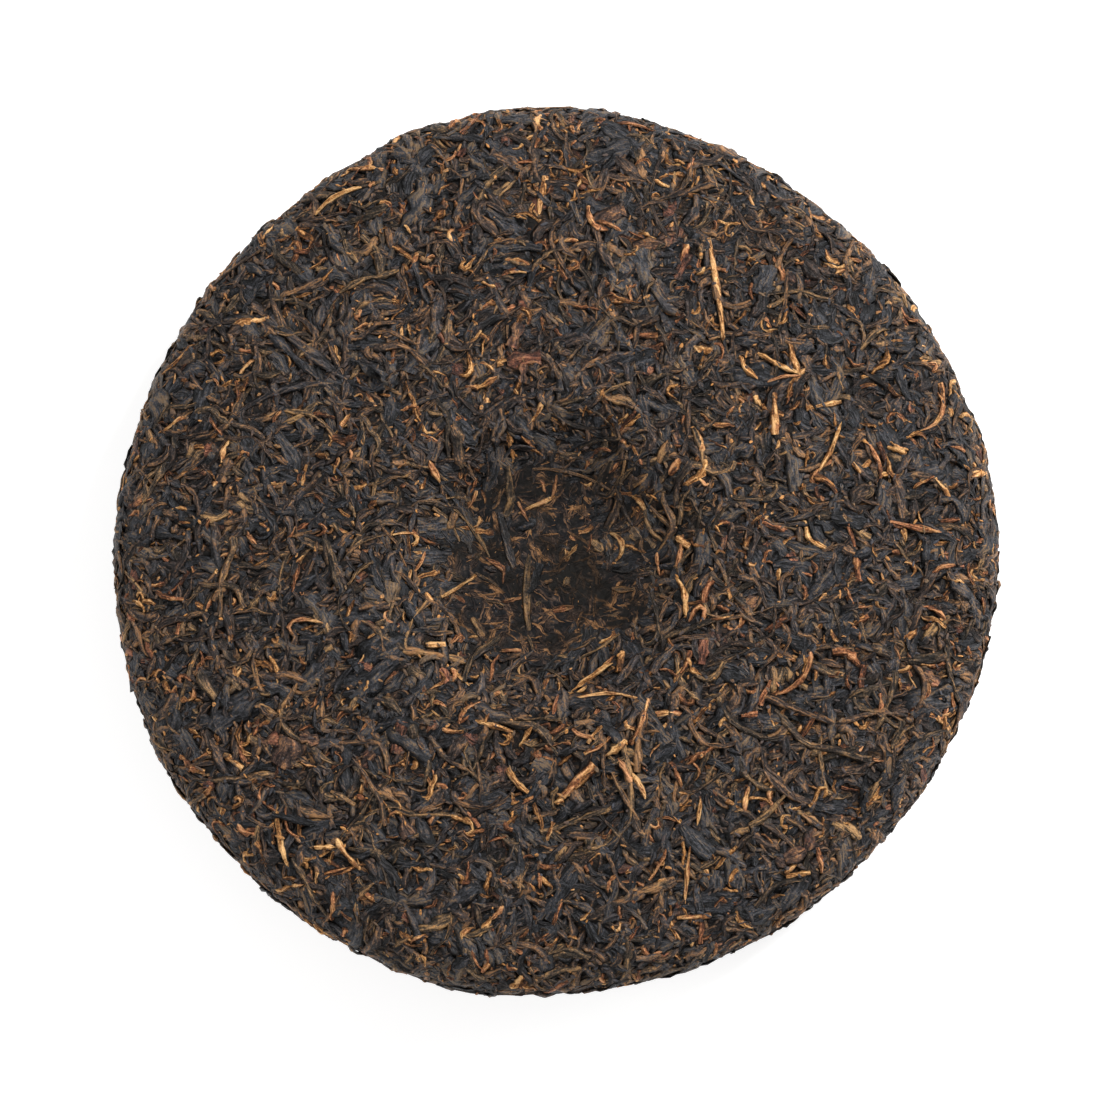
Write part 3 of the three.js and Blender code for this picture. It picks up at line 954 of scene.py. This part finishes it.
CRUMB_TILT = 0.4
CRUMB_TURNS = ((-CRUMB_TILT, -CRUMB_TILT, -math.pi), (CRUMB_TILT, CRUMB_TILT, math.pi))
CRUMB_FORMS = ((0.9, 0.4, 0.2), (2.4, 0.9, 0.5))  # least and greatest length, width and height


def random_vector(tree, limits, seed):
    values = {"Min": limits[0], "Max": limits[1], "Seed": seed}
    return new_node(tree, "FunctionNodeRandomValue", values, data_type="FLOAT_VECTOR").outputs["Value"]


def crumb_tree():
    """Puts a small broken crumb at every point, each turned and sized in its own way."""
    tree, given = geometry_group("Crumb Scatter", (("Seed", "Int", 0),))
    ball = new_node(tree, "GeometryNodeMeshIcoSphere", {"Radius": 1.0, "Subdivisions": 1})
    turn = random_vector(tree, CRUMB_TURNS, given["Seed"])
    normal = named_value(tree, "skin_normal", "FLOAT_VECTOR")
    lie = new_node(tree, "FunctionNodeAlignRotationToVector", {"Vector": normal})
    local = new_node(tree, "FunctionNodeEulerToRotation", {"Euler": turn})
    both = new_node(
        tree, "FunctionNodeRotateRotation", {"Rotation": lie.outputs[0], "Rotate By": local.outputs[0]},
        rotation_space="LOCAL",
    )
    form = random_vector(tree, CRUMB_FORMS, given["Seed"])
    copies = new_node(tree, "GeometryNodeInstanceOnPoints", {
        "Points": given["Geometry"],
        "Instance": ball.outputs["Mesh"],
        "Rotation": both.outputs[0],
        "Scale": scaled(tree, form, named_value(tree, "half_width")),
    })
    return end_geometry_group(tree, given, copies.outputs[0], smooth=False)


def relief_tree():
    """Roughens the core's skin, as if it were torn and pressed leaf all through."""
    tree, given = geometry_group("Core Relief", (("Height", "Float", 0.001), ("Grain Size", "Float", 0.002)))
    place = new_node(tree, "GeometryNodeInputPosition").outputs[0]
    grain = noise(tree, place, calc(tree, "DIVIDE", 1.0, given["Grain Size"]))
    rise = calc(tree, "MULTIPLY", off_middle(tree, grain), given["Height"])
    rise = calc(tree, "MULTIPLY", rise, named_value(tree, "relief"))
    offset = scaled(tree, new_node(tree, "GeometryNodeInputNormal").outputs[0], rise)
    rough = new_node(tree, "GeometryNodeSetPosition", {"Geometry": given["Geometry"], "Offset": offset})
    return end_geometry_group(tree, given, rough.outputs[0])


def shared_group(name, make):
    """A node group that is made once and then used again."""
    return bpy.data.node_groups.get(name) or make()


def new_mesh_object(name, vertices, edges=(), faces=()):
    mesh = bpy.data.meshes.new(name)
    mesh.from_pydata(vertices, edges, faces)
    thing = bpy.data.objects.new(name, mesh)
    bpy.context.scene.collection.objects.link(thing)
    return thing


def store(mesh, name, values):
    """Keeps one number or one vector for each vertex."""
    if values.ndim == 1:
        attribute = mesh.attributes.new(name, "FLOAT", "POINT")
        attribute.data.foreach_set("value", values.astype(np.float32))
    else:
        attribute = mesh.attributes.new(name, "FLOAT_VECTOR", "POINT")
        attribute.data.foreach_set("vector", values.astype(np.float32).ravel())


def run_tree(thing, tree, values):
    """Runs a Geometry Nodes tree on an object and keeps the result as its plain mesh."""
    modifier = thing.modifiers.new(tree.name, "NODES")
    modifier.node_group = tree
    for item in tree.interface.items_tree:
        if item.in_out == "INPUT" and item.name in values:
            modifier[item.identifier] = values[item.name]
    depsgraph = bpy.context.evaluated_depsgraph_get()
    source = thing.data
    made = bpy.data.meshes.new_from_object(
        thing.evaluated_get(depsgraph), preserve_all_data_layers=True, depsgraph=depsgraph,
    )
    thing.modifiers.clear()
    thing.data = made
    made.name = thing.name
    bpy.data.meshes.remove(source)
    triangles = sum(len(face.vertices) - 2 for face in made.polygons)
    if not 0 < triangles < MOST_TRIANGLES:
        raise RuntimeError(f"{thing.name} has {triangles} triangles")
    return triangles


def settle_on_table(mesh):
    """Flattens what would reach below the surface that the cake rests on."""
    spots = np.empty(3 * len(mesh.vertices))
    mesh.vertices.foreach_get("co", spots)
    spots = spots.reshape(-1, 3)
    spots[:, 2] = np.maximum(spots[:, 2], CAKE_LOW.z + TABLE_CLEARANCE)
    mesh.vertices.foreach_set("co", spots.ravel())


def finish_piece(thing):
    """Sets a piece on the table and on its body."""
    settle_on_table(thing.data)
    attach(thing, BODY)


# Materials


# Scales of the noises, in cells to a metre
GRAIN_SCALE = 1900.0
PATCH_SCALE = 170.0
BLOT_SCALE = 230.0
STAIN_SCALE = 420.0
CRUMB_SCALE = 2200.0
CORE_GRAIN_SCALE = 1300.0
CORE_MOTTLE_SCALE = 520.0
CORE_SWAY_SCALE = 320.0
CORE_DUST_SCALE = 150.0

# How much each pattern sways a leaf's tone and its height
LEAST_TONE = 0.07
FOLD_TONE = 0.7
CREST_TONE = 0.32
FIBRE_TONE = 0.8
GRAIN_TONE = 1.5
PATCH_TONE = 0.8
CREST_WIDTH = 0.05
GRAIN_HEIGHT = 0.9
CREST_HEIGHT = 0.3

# Painted shade: how far the colour darkens towards a leaf's edges, where leaves meet, and where a leaf lies
# deep
EDGE_SHADE_POWER = 3.5
EDGE_PAINTED_SHADE = 0.95
DEEP_SHADE = 0.06
MASH_DARK = 0.36
BLOT_RANGE = (0.48, 0.66, 0.0, 0.75)  # from and to
STAIN_BY_LEAF = 0.45
STAIN_RANGE = (0.66, 0.84, 0.0, 0.85)
TONE_STOPS = (0, 0.35, 0.7, 1)
GROOVE_SHADE = 0.2
ROUGH_HEIGHTS = (0.2, 1.2)
ROUGHER_GROOVES = 0.3
LEAF_BUMP = 0.4 * MM
LEAF_SHINE = 0.24
CRUMB_GRAIN = 0.7
CRUMB_ROUGHNESS = 0.6


def shader_attribute(tree, name):
    node = new_node(tree, "ShaderNodeAttribute", attribute_name=name, attribute_type="GEOMETRY")
    return node.outputs["Fac"]


def object_place(tree):
    return new_node(tree, "ShaderNodeTexCoord").outputs["Object"]


def new_material(name):
    material = bpy.data.materials.new(name)
    material.use_nodes = True
    material.node_tree.nodes.clear()
    return material, material.node_tree


def ramp(tree, factor, stops):
    """A colour ramp, each of whose stops is a place and a colour."""
    stops = list(stops)
    node = new_node(tree, "ShaderNodeValToRGB", {"Fac": factor})
    elements = node.color_ramp.elements
    while len(elements) < len(stops):
        elements.new(0.5)
    for element, (position, colour) in zip(elements, stops):
        element.position = position
        element.color = (*colour, 1)
    return node.outputs["Color"]


def blend_colours(tree, factor, first, second, kind="MIX"):
    """Mixes two colours, each a socket or a fixed colour."""
    node = new_node(tree, "ShaderNodeMix", data_type="RGBA", blend_type=kind)
    for place, value in ((0, factor), (6, first), (7, second)):
        if isinstance(value, bpy.types.NodeSocket):
            tree.links.new(value, node.inputs[place])
        else:
            node.inputs[place].default_value = value if place == 0 else (*value, 1)
    return node.outputs[2]


def end_material(tree, colour, roughness, height, bump=LEAF_BUMP, shine=LEAF_SHINE):
    normal = new_node(tree, "ShaderNodeBump", {"Height": height, "Distance": bump, "Strength": 1.0})
    shader = new_node(tree, "ShaderNodeBsdfPrincipled", {
        "Base Color": colour,
        "Roughness": roughness,
        "Specular IOR Level": shine,
        "Normal": normal.outputs[0],
    })
    new_node(tree, "ShaderNodeOutputMaterial", {"Surface": shader.outputs[0]})


def leaf_skin_group():
    """A dried leaf's skin: its tone, its height, its painted shade, other kinds' stains, and smears of mash.
    """
    tree, given = new_group("Tea Leaf Skin", "ShaderNodeTree", (
        ("Ribs", "Float", 1.7), ("Tone Spread", "Float", 0.5),
    ), (("Tone", "Float"), ("Height", "Float"), ("Shade", "Float"), ("Stain", "Float"), ("Smear", "Float")))
    across = shader_attribute(tree, "leaf_across")
    along = shader_attribute(tree, "leaf_along")
    mash = shader_attribute(tree, "mash")
    seed = shader_attribute(tree, "leaf_seed")
    folds = fold_noise(tree, across, along, seed, given["Ribs"])
    fibres = fibre_noise(tree, across, along, seed, given["Ribs"])
    place = object_place(tree)
    grain = noise(tree, place, GRAIN_SCALE, 3.0, FINE_ROUGHNESS)
    patch = noise(tree, place, PATCH_SCALE)
    crest = calc(tree, "ABSOLUTE", off_middle(tree, fibres))
    crest = stretch(tree, crest, CREST_WIDTH, 0.0)

    own_tone = off_middle(tree, shader_attribute(tree, "leaf_tone"))
    own_tone = calc(tree, "MULTIPLY", own_tone, given["Tone Spread"])
    # Tone from the folds: darker in the grooves, lighter on the ridges; partly the leaf's own stripes, partly
    # painted shade in the grooves
    tone = calc(tree, "MULTIPLY_ADD", folds, FOLD_TONE, LEAST_TONE)
    tone = calc(tree, "ADD", tone, own_tone)
    tone = calc(tree, "MULTIPLY_ADD", crest, CREST_TONE, tone)
    for pattern, weight in ((fibres, FIBRE_TONE), (grain, GRAIN_TONE), (patch, PATCH_TONE)):
        tone = calc(tree, "MULTIPLY_ADD", off_middle(tree, pattern), weight, tone)
    tone = calc(tree, "MINIMUM", calc(tree, "MAXIMUM", tone, 0.0), 1.0)
    height = calc(tree, "MULTIPLY_ADD", grain, GRAIN_HEIGHT, folds)
    height = calc(tree, "MULTIPLY_ADD", crest, CREST_HEIGHT, height)

    # Painted shade along each leaf's edges, where it meets its neighbours
    edge = calc(tree, "POWER", calc(tree, "ABSOLUTE", across), EDGE_SHADE_POWER)
    edge = calc(tree, "MULTIPLY_ADD", edge, -EDGE_PAINTED_SHADE, 1.0)
    # Painted shade: the colour darkens where a leaf lies deep between its neighbours
    shade = stretch(tree, shader_attribute(tree, "leaf_open"), 0.0, 1.0, DEEP_SHADE, 1.0)
    shade = calc(tree, "MULTIPLY", shade, edge)
    shade = calc(tree, "MULTIPLY", shade, calc(tree, "MULTIPLY_ADD", mash, -MASH_DARK, 1.0))

    blot = stretch(tree, noise(tree, place, BLOT_SCALE, 4.0, FINE_ROUGHNESS), *BLOT_RANGE)
    smear = calc(tree, "MULTIPLY", blot, mash)
    stain = noise(tree, place, STAIN_SCALE, 4.0, FINE_ROUGHNESS)
    stain = stretch(tree, calc(tree, "MULTIPLY_ADD", seed, STAIN_BY_LEAF, stain), *STAIN_RANGE)
    results = {"Tone": tone, "Height": height, "Shade": shade, "Stain": stain, "Smear": smear}
    new_node(tree, "NodeGroupOutput", results)
    return tree


LEAF_FINISH = {
    # kind: the stems of its colours' and its stains' names, ribs across half the leaf, least roughness
    "broad_leaves": ("charcoal", "black", 3.2, 0.45),
    "black_leaves": ("black", "brown", 1.7, 0.40),
    "brown_leaves": ("brown", "charcoal", 1.7, 0.42),
    "olive_leaves": ("olive", "brown", 1.9, 0.46),
    "stems": ("brown", "olive", 1.7, 0.45),
    "golden_buds": ("gold", "stalk", 1.5, 0.52),
    "stalks": ("stalk", "gold", 1.6, 0.48),
    "flakes": ("flake", "brown", 2.2, 0.50),
}
SMEAR_COLOUR = (0.009, 0.008, 0.007)
CORE_GROOVE = (0.003, 0.003, 0.0035)
CORE_STRIPS = (
    # heading in degrees, length, width, share that shows, lightness
    (15, 5.5 * MM, 1.8 * MM, 0.26, -0.2),
    (-40, 5 * MM, 1.4 * MM, 0.24, -0.15),
    (70, 5 * MM, 1.2 * MM, 0.22, -0.1),
    (-75, 4.5 * MM, 0.9 * MM, 0.16, 0.0),
    (35, 4.5 * MM, 0.8 * MM, 0.14, 0.05),
    (-10, 3.5 * MM, 0.6 * MM, 0.10, 0.12),
)
FIBRE_SCALES = (350, 3000, 900)
STRIP_SWAY = 2.4 * MM
STRIP_EDGE = 0.02
STRIP_COVER = 0.7
STRIP_RISE = 0.5
STRIP_GAPS = (0.42, 0.5)
STRIP_TONES = (1.2, 0.6, -0.2)  # by fibres, by strip, and for all
CORE_MOTTLE = (0.38, 0.5, 0.58, 0.68)
BARE_DUST = 0.3
DUST_RANGE = (0.44, 0.58, 0.0, 0.85)
CORE_ROUGHNESS = 0.8
CORE_BUMP = 0.3 * MM
CORE_SHINE = 0.12


def tone_colour(tree, skin, colours, stem):
    """The colour of one kind of leaf by its tone, from its grooves to its lightest ridges."""
    dark, light, edge = (getattr(colours, f"{stem}_{end}") for end in ("dark", "light", "edge"))
    # The grooves' colour is the dark colour darkened further, partly as painted shade
    groove = [GROOVE_SHADE * value for value in dark]
    return ramp(tree, skin.outputs["Tone"], zip(TONE_STOPS, (groove, dark, light, edge)))


def kind_material(kind_name, colours):
    """A dried leaf: dark in its grooves, partly as painted shade, lighter on its ridges, with painted shade
    where it lies deep and along its edges, and darker where it is mashed.
    """
    name = f"tea {kind_name.replace('_', ' ')}"
    if name in bpy.data.materials:
        return bpy.data.materials[name]
    own_stem, stain_stem, ribs, roughness = LEAF_FINISH[kind_name]
    material, tree = new_material(name)
    skin = new_node(tree, "ShaderNodeGroup", node_tree=shared_group("Tea Leaf Skin", leaf_skin_group))
    skin.inputs["Ribs"].default_value = ribs
    own_colour, stain_colour = (tone_colour(tree, skin, colours, stem) for stem in (own_stem, stain_stem))
    colour = blend_colours(tree, skin.outputs["Stain"], own_colour, stain_colour)
    colour = blend_colours(tree, 1.0, colour, skin.outputs["Shade"], "MULTIPLY")
    colour = blend_colours(tree, skin.outputs["Smear"], colour, SMEAR_COLOUR)
    height = skin.outputs["Height"]
    rough = stretch(tree, height, *ROUGH_HEIGHTS, roughness + ROUGHER_GROOVES, roughness)
    end_material(tree, colour, rough, height)
    return material


def crumb_material(colours):
    """Broken bits of every kind of leaf, from nearly black to golden."""
    name = "tea crumbs"
    if name in bpy.data.materials:
        return bpy.data.materials[name]
    material, tree = new_material(name)
    grain = noise(tree, object_place(tree), CRUMB_SCALE, 3.0)
    own_tone = shader_attribute(tree, "leaf_tone")
    tone = calc(tree, "MULTIPLY_ADD", off_middle(tree, grain), CRUMB_GRAIN, own_tone)
    colour = ramp(tree, tone, (
        (0, colours.black_light),
        (0.5, colours.brown_light),
        (0.8, colours.olive_light),
        (1, colours.gold_light),
    ))
    end_material(tree, colour, CRUMB_ROUGHNESS, grain)
    return material


def strip_layer(tree, place, turn, length, width, share):
    """Flat strips of leaf that run one way: where they show, a random number for each, and their fibres."""
    values = {"Vector": place, "Angle": turn}
    turned = new_node(tree, "ShaderNodeVectorRotate", values, rotation_type="Z_AXIS").outputs[0]
    shrunk = vector_calc(tree, "MULTIPLY", turned, (1 / length, 1 / width, 1 / length))
    cells = new_node(tree, "ShaderNodeTexVoronoi", {"Vector": shrunk, "Scale": 1.0})
    own = new_node(tree, "ShaderNodeSeparateColor", {"Color": cells.outputs["Color"]})
    shows = stretch(tree, own.outputs["Red"], 1 - share, 1 + STRIP_EDGE - share)
    drawn = vector_calc(tree, "MULTIPLY", turned, FIBRE_SCALES)
    return shows, own.outputs["Green"], noise(tree, drawn, 1.0, 2.0, FIBRE_ROUGHNESS)


def core_material(colours):
    """The mass under the leaves: nearly black, with strips of leaf pressed into it, and bare in one spot."""
    material, tree = new_material("tea pressed core")
    place = object_place(tree)
    height = noise(tree, place, CORE_GRAIN_SCALE, 4.0)
    mottle = noise(tree, place, CORE_MOTTLE_SCALE, 6.0, 0.7)
    core_tones = (CORE_GROOVE, colours.core_dark, colours.core_light, colours.brown_light)
    colour = ramp(tree, mottle, zip(CORE_MOTTLE, core_tones))
    sway = new_node(tree, "ShaderNodeTexNoise", {"Vector": place, "Scale": CORE_SWAY_SCALE}).outputs["Color"]
    bent = vector_calc(tree, "ADD", place, scaled(tree, sway, STRIP_SWAY))
    by_fibres, by_strip, for_all = STRIP_TONES
    for turn, length, width, share, light in CORE_STRIPS:
        shows, own, fibres = strip_layer(tree, bent, math.radians(turn), length, width, share)
        tone = calc(tree, "MULTIPLY_ADD", own, by_strip, light + for_all)
        tone = calc(tree, "MULTIPLY_ADD", fibres, by_fibres, tone)
        strip = ramp(tree, tone, (
            (0.3, colours.core_dark),
            (0.5, colours.brown_dark),
            (0.78, colours.brown_light),
            (1, colours.brown_edge),
        ))
        shows = calc(tree, "MULTIPLY", shows, stretch(tree, fibres, *STRIP_GAPS))
        colour = blend_colours(tree, calc(tree, "MULTIPLY", shows, STRIP_COVER), colour, strip)
        height = calc(tree, "MULTIPLY_ADD", shows, STRIP_RISE, height)
        height = calc(tree, "MULTIPLY_ADD", fibres, calc(tree, "MULTIPLY", shows, STRIP_RISE), height)
    dust = noise(tree, place, CORE_DUST_SCALE, 5.0, FINE_ROUGHNESS)
    dust = calc(tree, "MULTIPLY_ADD", shader_attribute(tree, "bare"), BARE_DUST, dust)
    colour = blend_colours(tree, stretch(tree, dust, *DUST_RANGE), colour, SMEAR_COLOUR)
    end_material(tree, colour, CORE_ROUGHNESS, height, CORE_BUMP, CORE_SHINE)
    return material


def floor_material(studio):
    """A pale floor that also gives light."""
    material, tree = new_material("studio floor")
    colour = (*studio.floor, 1)
    shader = new_node(tree, "ShaderNodeBsdfPrincipled", {
        "Base Color": colour,
        "Roughness": 0.9,
        "Emission Color": colour,
        "Emission Strength": studio.floor_glow,
    })
    new_node(tree, "ShaderNodeOutputMaterial", {"Surface": shader.outputs[0]})
    return material


# Pieces


BED_REACH = 112 * MM
LEAF_REACH = 103 * MM
CORE_RINGS = 60
CORE_SEGMENTS = 240
CORE_HEIGHT = 1.2 * MM
CORE_GRAIN = 2.4 * MM
CORE_FLAT_FADE = 1.4
CRUMB_SIZES = (0.22, 0.6)
CRUMB_SINK = 0.1
CRUMB_MASH = 0.6
FLAKE_MASH = 0.1  # no flakes where the leaves are mashed more than this
BARE_ENOUGH = 0.5


def core_mesh(cake, leaves):
    """The pressed mass under the leaves: the whole skin, sunk by the depth of the leaf bed."""
    segments = CORE_SEGMENTS
    flat = FLAT_SHARE * cake.radius
    turns = np.linspace(0, 2 * math.pi, segments, endpoint=False)
    spots = []
    reliefs = []
    bares = []
    for upper in (True, False):
        skin = Skin(cake, upper)
        ring_runs = np.linspace(0, skin.run[-1] / 2, CORE_RINGS + 1)[1:]
        if not upper:
            ring_runs = ring_runs[-2::-1]
        runs, around = np.meshgrid(ring_runs, turns, indexing="ij")
        u = runs * np.cos(around)
        v = runs * np.sin(around)
        mash = skin.mash(u, v)
        spots.append(skin.place(u, v, bed_floor(leaves, upper, mash))[0])
        reliefs.append(1 - BED_MASH * mash if upper else smoothstep(flat, CORE_FLAT_FADE * flat, runs))
        bares.append(bare_share(u, v, skin) * upper)
    pole = np.zeros(1)
    top = Skin(cake, True).place(pole, pole, bed_floor(leaves, True, np.ones(1)))[0]
    bottom = Skin(cake, False).place(pole, pole, bed_floor(leaves, False, pole))[0]
    grid = np.concatenate(spots)
    vertices = np.concatenate([grid.reshape(-1, 3), top, bottom])
    count = len(grid)
    faces = []
    for ring in range(count - 1):
        start = ring * segments
        for i in range(segments):
            j = (i + 1) % segments
            faces.append((start + i, start + segments + i, start + segments + j, start + j))
    top_pole = count * segments
    last = (count - 1) * segments
    for i in range(segments):
        j = (i + 1) % segments
        faces.append((top_pole, i, j))
        faces.append((top_pole + 1, last + j, last + i))
    relief = np.append(np.concatenate(reliefs).ravel(), [1 - BED_MASH, 0])
    bare = np.append(np.concatenate(bares).ravel(), [0, 0])
    return vertices, faces, relief, bare


def paths_object(name, skin, batch, lifts, bed):
    """The laid leaves of one kind as bare paths, with what the sweep and the material read on them."""
    spots, out = skin.place(batch.u, batch.v, lifts)
    along = np.gradient(spots, axis=1)
    along /= np.linalg.norm(along, axis=-1, keepdims=True)
    out = out - along * (out * along).sum(axis=-1, keepdims=True)
    out /= np.linalg.norm(out, axis=-1, keepdims=True)
    side = np.cross(along, out)
    roll = (batch.roll * batch.flatness)[..., None]
    out = out * np.cos(roll) + side * np.sin(roll)
    leaves, stations = batch.u.shape
    first = np.arange(leaves * stations).reshape(leaves, stations)
    edges = np.stack([first[:, :-1].ravel(), first[:, 1:].ravel()], axis=-1)
    thing = new_mesh_object(name, spots.reshape(-1, 3), edges.tolist())
    each = np.ones((1, stations))
    store(thing.data, "skin_normal", out.reshape(-1, 3))
    for label, values in (
        ("half_width", batch.half_width),
        ("flatness", batch.flatness),
        ("leaf_along", batch.along / FOLD_LENGTH),
        ("leaf_tone", batch.tone[:, None] * each),
        ("leaf_seed", batch.seed[:, None] * each),
        ("leaf_open", bed.openness(batch, lifts)),
        ("mash", batch.mash),
    ):
        store(thing.data, label, values.ravel())
    return thing


def lay_crumbs(name, skin, bed, count, draw, colours):
    """Small broken crumbs on top of the leaves of one side."""
    u, v = even_places(count, LEAF_REACH, draw).T
    size = draw.uniform(*CRUMB_SIZES, count) * MM
    lift = bed.height[bed.index(u, v)] - CRUMB_SINK * size
    spots, out = skin.place(u, v, lift)
    thing = new_mesh_object(name, spots)
    store(thing.data, "skin_normal", out)
    store(thing.data, "half_width", size * (1 - CRUMB_MASH * skin.mash(u, v)))
    store(thing.data, "leaf_tone", draw.random(count))
    tree = shared_group("Crumb Scatter", crumb_tree)
    return thing, run_tree(thing, tree, {"Seed": count, "Material": crumb_material(colours)})


def cover_side(settings, upper):
    """Lays all the leaves of one side of the cake, and makes one piece of each kind."""
    leaves = settings.leaves
    skin = Skin(settings.cake, upper)
    draw = np.random.default_rng(leaves.seed + (0 if upper else 100))
    count = leaves.upper_count if upper else leaves.lower_count
    side = "upper" if upper else "lower"
    places = even_places(count, LEAF_REACH, draw)
    if upper:
        places = places[bare_share(places[:, 0], places[:, 1], skin) < BARE_ENOUGH]
    bed = Bed(skin, leaves, BED_REACH)
    batches = []
    start = 0
    for kind in KINDS:
        number = round(len(places) * kind.share)
        standouts = STANDOUT_LEAVES.get(kind.name, ()) if upper else ()
        mine = places[start:start + number]
        if kind.name == "flakes":
            mine = mine[skin.mash(mine[:, 0], mine[:, 1]) < FLAKE_MASH]
        batches.append(leaf_batch(kind, mine, skin, leaves, draw, standouts))
        start += number
    total = 0
    for batch, lifts in bed.lay(batches):
        kind = batch.kind
        thing = paths_object(f"{kind.name}_{side}", skin, batch, lifts, bed)
        total += run_tree(thing, shared_group("Leaf Sweep", sweep_tree), {
            "Section Points": kind.section,
            "Thickness": kind.thickness,
            "Fold": kind.fold,
            "Ribs": LEAF_FINISH[kind.name][2],
            "Material": kind_material(kind.name, settings.colours),
        })
        finish_piece(thing)
    number = int(leaves.crumb_share * count)
    crumbs, triangles = lay_crumbs(f"crumbs_{side}", skin, bed, number, draw, settings.colours)
    finish_piece(crumbs)
    print(f"{side} side: {total + triangles} triangles")


class TEACAKE_OT_core(Operator):
    """Makes the pressed mass that lies under the leaves"""

    bl_idname = "teacake.core"
    bl_label = "Pressed Core"

    def execute(self, context):
        settings = context.scene.tea_cake
        vertices, faces, relief, bare = core_mesh(settings.cake, settings.leaves)
        core = new_mesh_object("pressed_core", vertices, (), faces)
        store(core.data, "relief", relief)
        store(core.data, "bare", bare)
        run_tree(core, shared_group("Core Relief", relief_tree), {
            "Height": CORE_HEIGHT, "Grain Size": CORE_GRAIN, "Material": core_material(settings.colours),
        })
        finish_piece(core)
        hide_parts(CAKE)
        return {"FINISHED"}


class TEACAKE_OT_upper_leaves(Operator):
    """Lays the leaves, buds and stalks of the upper side and the rim, down to its widest line"""

    bl_idname = "teacake.upper_leaves"
    bl_label = "Upper Leaves"

    def execute(self, context):
        cover_side(context.scene.tea_cake, upper=True)
        return {"FINISHED"}


class TEACAKE_OT_lower_leaves(Operator):
    """Lays the leaves, buds and stalks of the underside and the rim, up to its widest line"""

    bl_idname = "teacake.lower_leaves"
    bl_label = "Lower Leaves"

    def execute(self, context):
        cover_side(context.scene.tea_cake, upper=False)
        return {"FINISHED"}


FLOOR_REACH = 3.0
LAMP_DISTANCE = 1.1
LAMP_COLOUR = (1.0, 0.99, 0.98)
LAMPS = (
    # name, turn, elevation, breadth
    ("key", math.radians(42), math.radians(38), 0.4),
    ("side", math.radians(205), math.radians(25), 0.7),
    ("rim", math.radians(15), math.radians(13), 0.3),
)


class TEACAKE_OT_stage(Operator):
    """Sets up the floor, the light and the camera"""

    bl_idname = "teacake.stage"
    bl_label = "Studio"

    def execute(self, context):
        scene = context.scene
        studio = scene.tea_cake.studio
        corners = [(FLOOR_REACH * x, FLOOR_REACH * y, 0) for x, y in ((-1, -1), (1, -1), (1, 1), (-1, 1))]
        floor = new_mesh_object("studio_floor", corners, (), [(0, 1, 2, 3)])
        floor.data.materials.append(floor_material(studio))

        world = bpy.data.worlds.new("studio light")
        world.use_nodes = True
        background = world.node_tree.nodes["Background"]
        background.inputs["Color"].default_value = (1, 1, 1, 1)
        background.inputs["Strength"].default_value = studio.fill
        scene.world = world

        for name, turn, elevation, breadth in LAMPS:
            light = bpy.data.lights.new(name, "AREA")
            light.shape = "DISK"
            light.size = breadth
            light.energy = getattr(studio, f"{name}_power")
            light.color = LAMP_COLOUR
            lamp = bpy.data.objects.new(name, light)
            level = math.cos(elevation)
            towards = Vector((level * math.cos(turn), level * math.sin(turn), math.sin(elevation)))
            lamp.location = LAMP_DISTANCE * towards
            lamp.rotation_euler = towards.to_track_quat("Z", "Y").to_euler()
            scene.collection.objects.link(lamp)

        camera_data = bpy.data.cameras.new("camera")
        camera_data.lens = CAMERA_LENS
        camera_data.sensor_width = CAMERA_SENSOR
        camera_data.clip_start = 0.01
        camera = bpy.data.objects.new("camera", camera_data)
        camera.location = CAMERA_PLACE
        camera.rotation_euler = CAMERA_BACK.to_track_quat("Z", "Y").to_euler()
        scene.collection.objects.link(camera)
        scene.camera = camera
        scene.view_settings.view_transform = "Standard"
        return {"FINISHED"}


# Add-on


class TeaCakeSettings(PropertyGroup):
    """All that can be set for the tea cake"""

    cake: PointerProperty(type=CakeSizes)
    leaves: PointerProperty(type=LeafSizes)
    colours: PointerProperty(type=LeafColours)
    studio: PointerProperty(type=StudioLook)


OPERATORS = (TEACAKE_OT_stage, TEACAKE_OT_core, TEACAKE_OT_upper_leaves, TEACAKE_OT_lower_leaves)


class TEACAKE_PT_panel(Panel):
    """Lists the cake's settings and the steps that make it"""

    bl_label = "Tea Cake"
    bl_idname = "TEACAKE_PT_panel"
    bl_space_type = "VIEW_3D"
    bl_region_type = "UI"
    bl_category = "Tea Cake"

    def draw(self, context):
        settings = context.scene.tea_cake
        for group in (settings.cake, settings.leaves, settings.colours, settings.studio):
            column = self.layout.box().column()
            for name in group.bl_rna.properties.keys():
                if name not in ("rna_type", "name"):
                    column.prop(group, name)
        for operator in OPERATORS:
            self.layout.operator(operator.bl_idname)


CLASSES = (CakeSizes, LeafSizes, LeafColours, StudioLook, TeaCakeSettings, *OPERATORS, TEACAKE_PT_panel)


def register():
    for cls in CLASSES:
        bpy.utils.register_class(cls)
    bpy.types.Scene.tea_cake = PointerProperty(type=TeaCakeSettings)


def unregister():
    del bpy.types.Scene.tea_cake
    for cls in reversed(CLASSES):
        bpy.utils.unregister_class(cls)


def main():
    register()
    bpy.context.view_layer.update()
    bpy.ops.teacake.stage()
    bpy.ops.teacake.core()
    bpy.ops.teacake.upper_leaves()
    bpy.ops.teacake.lower_leaves()


if __name__ == "__main__":
    main()
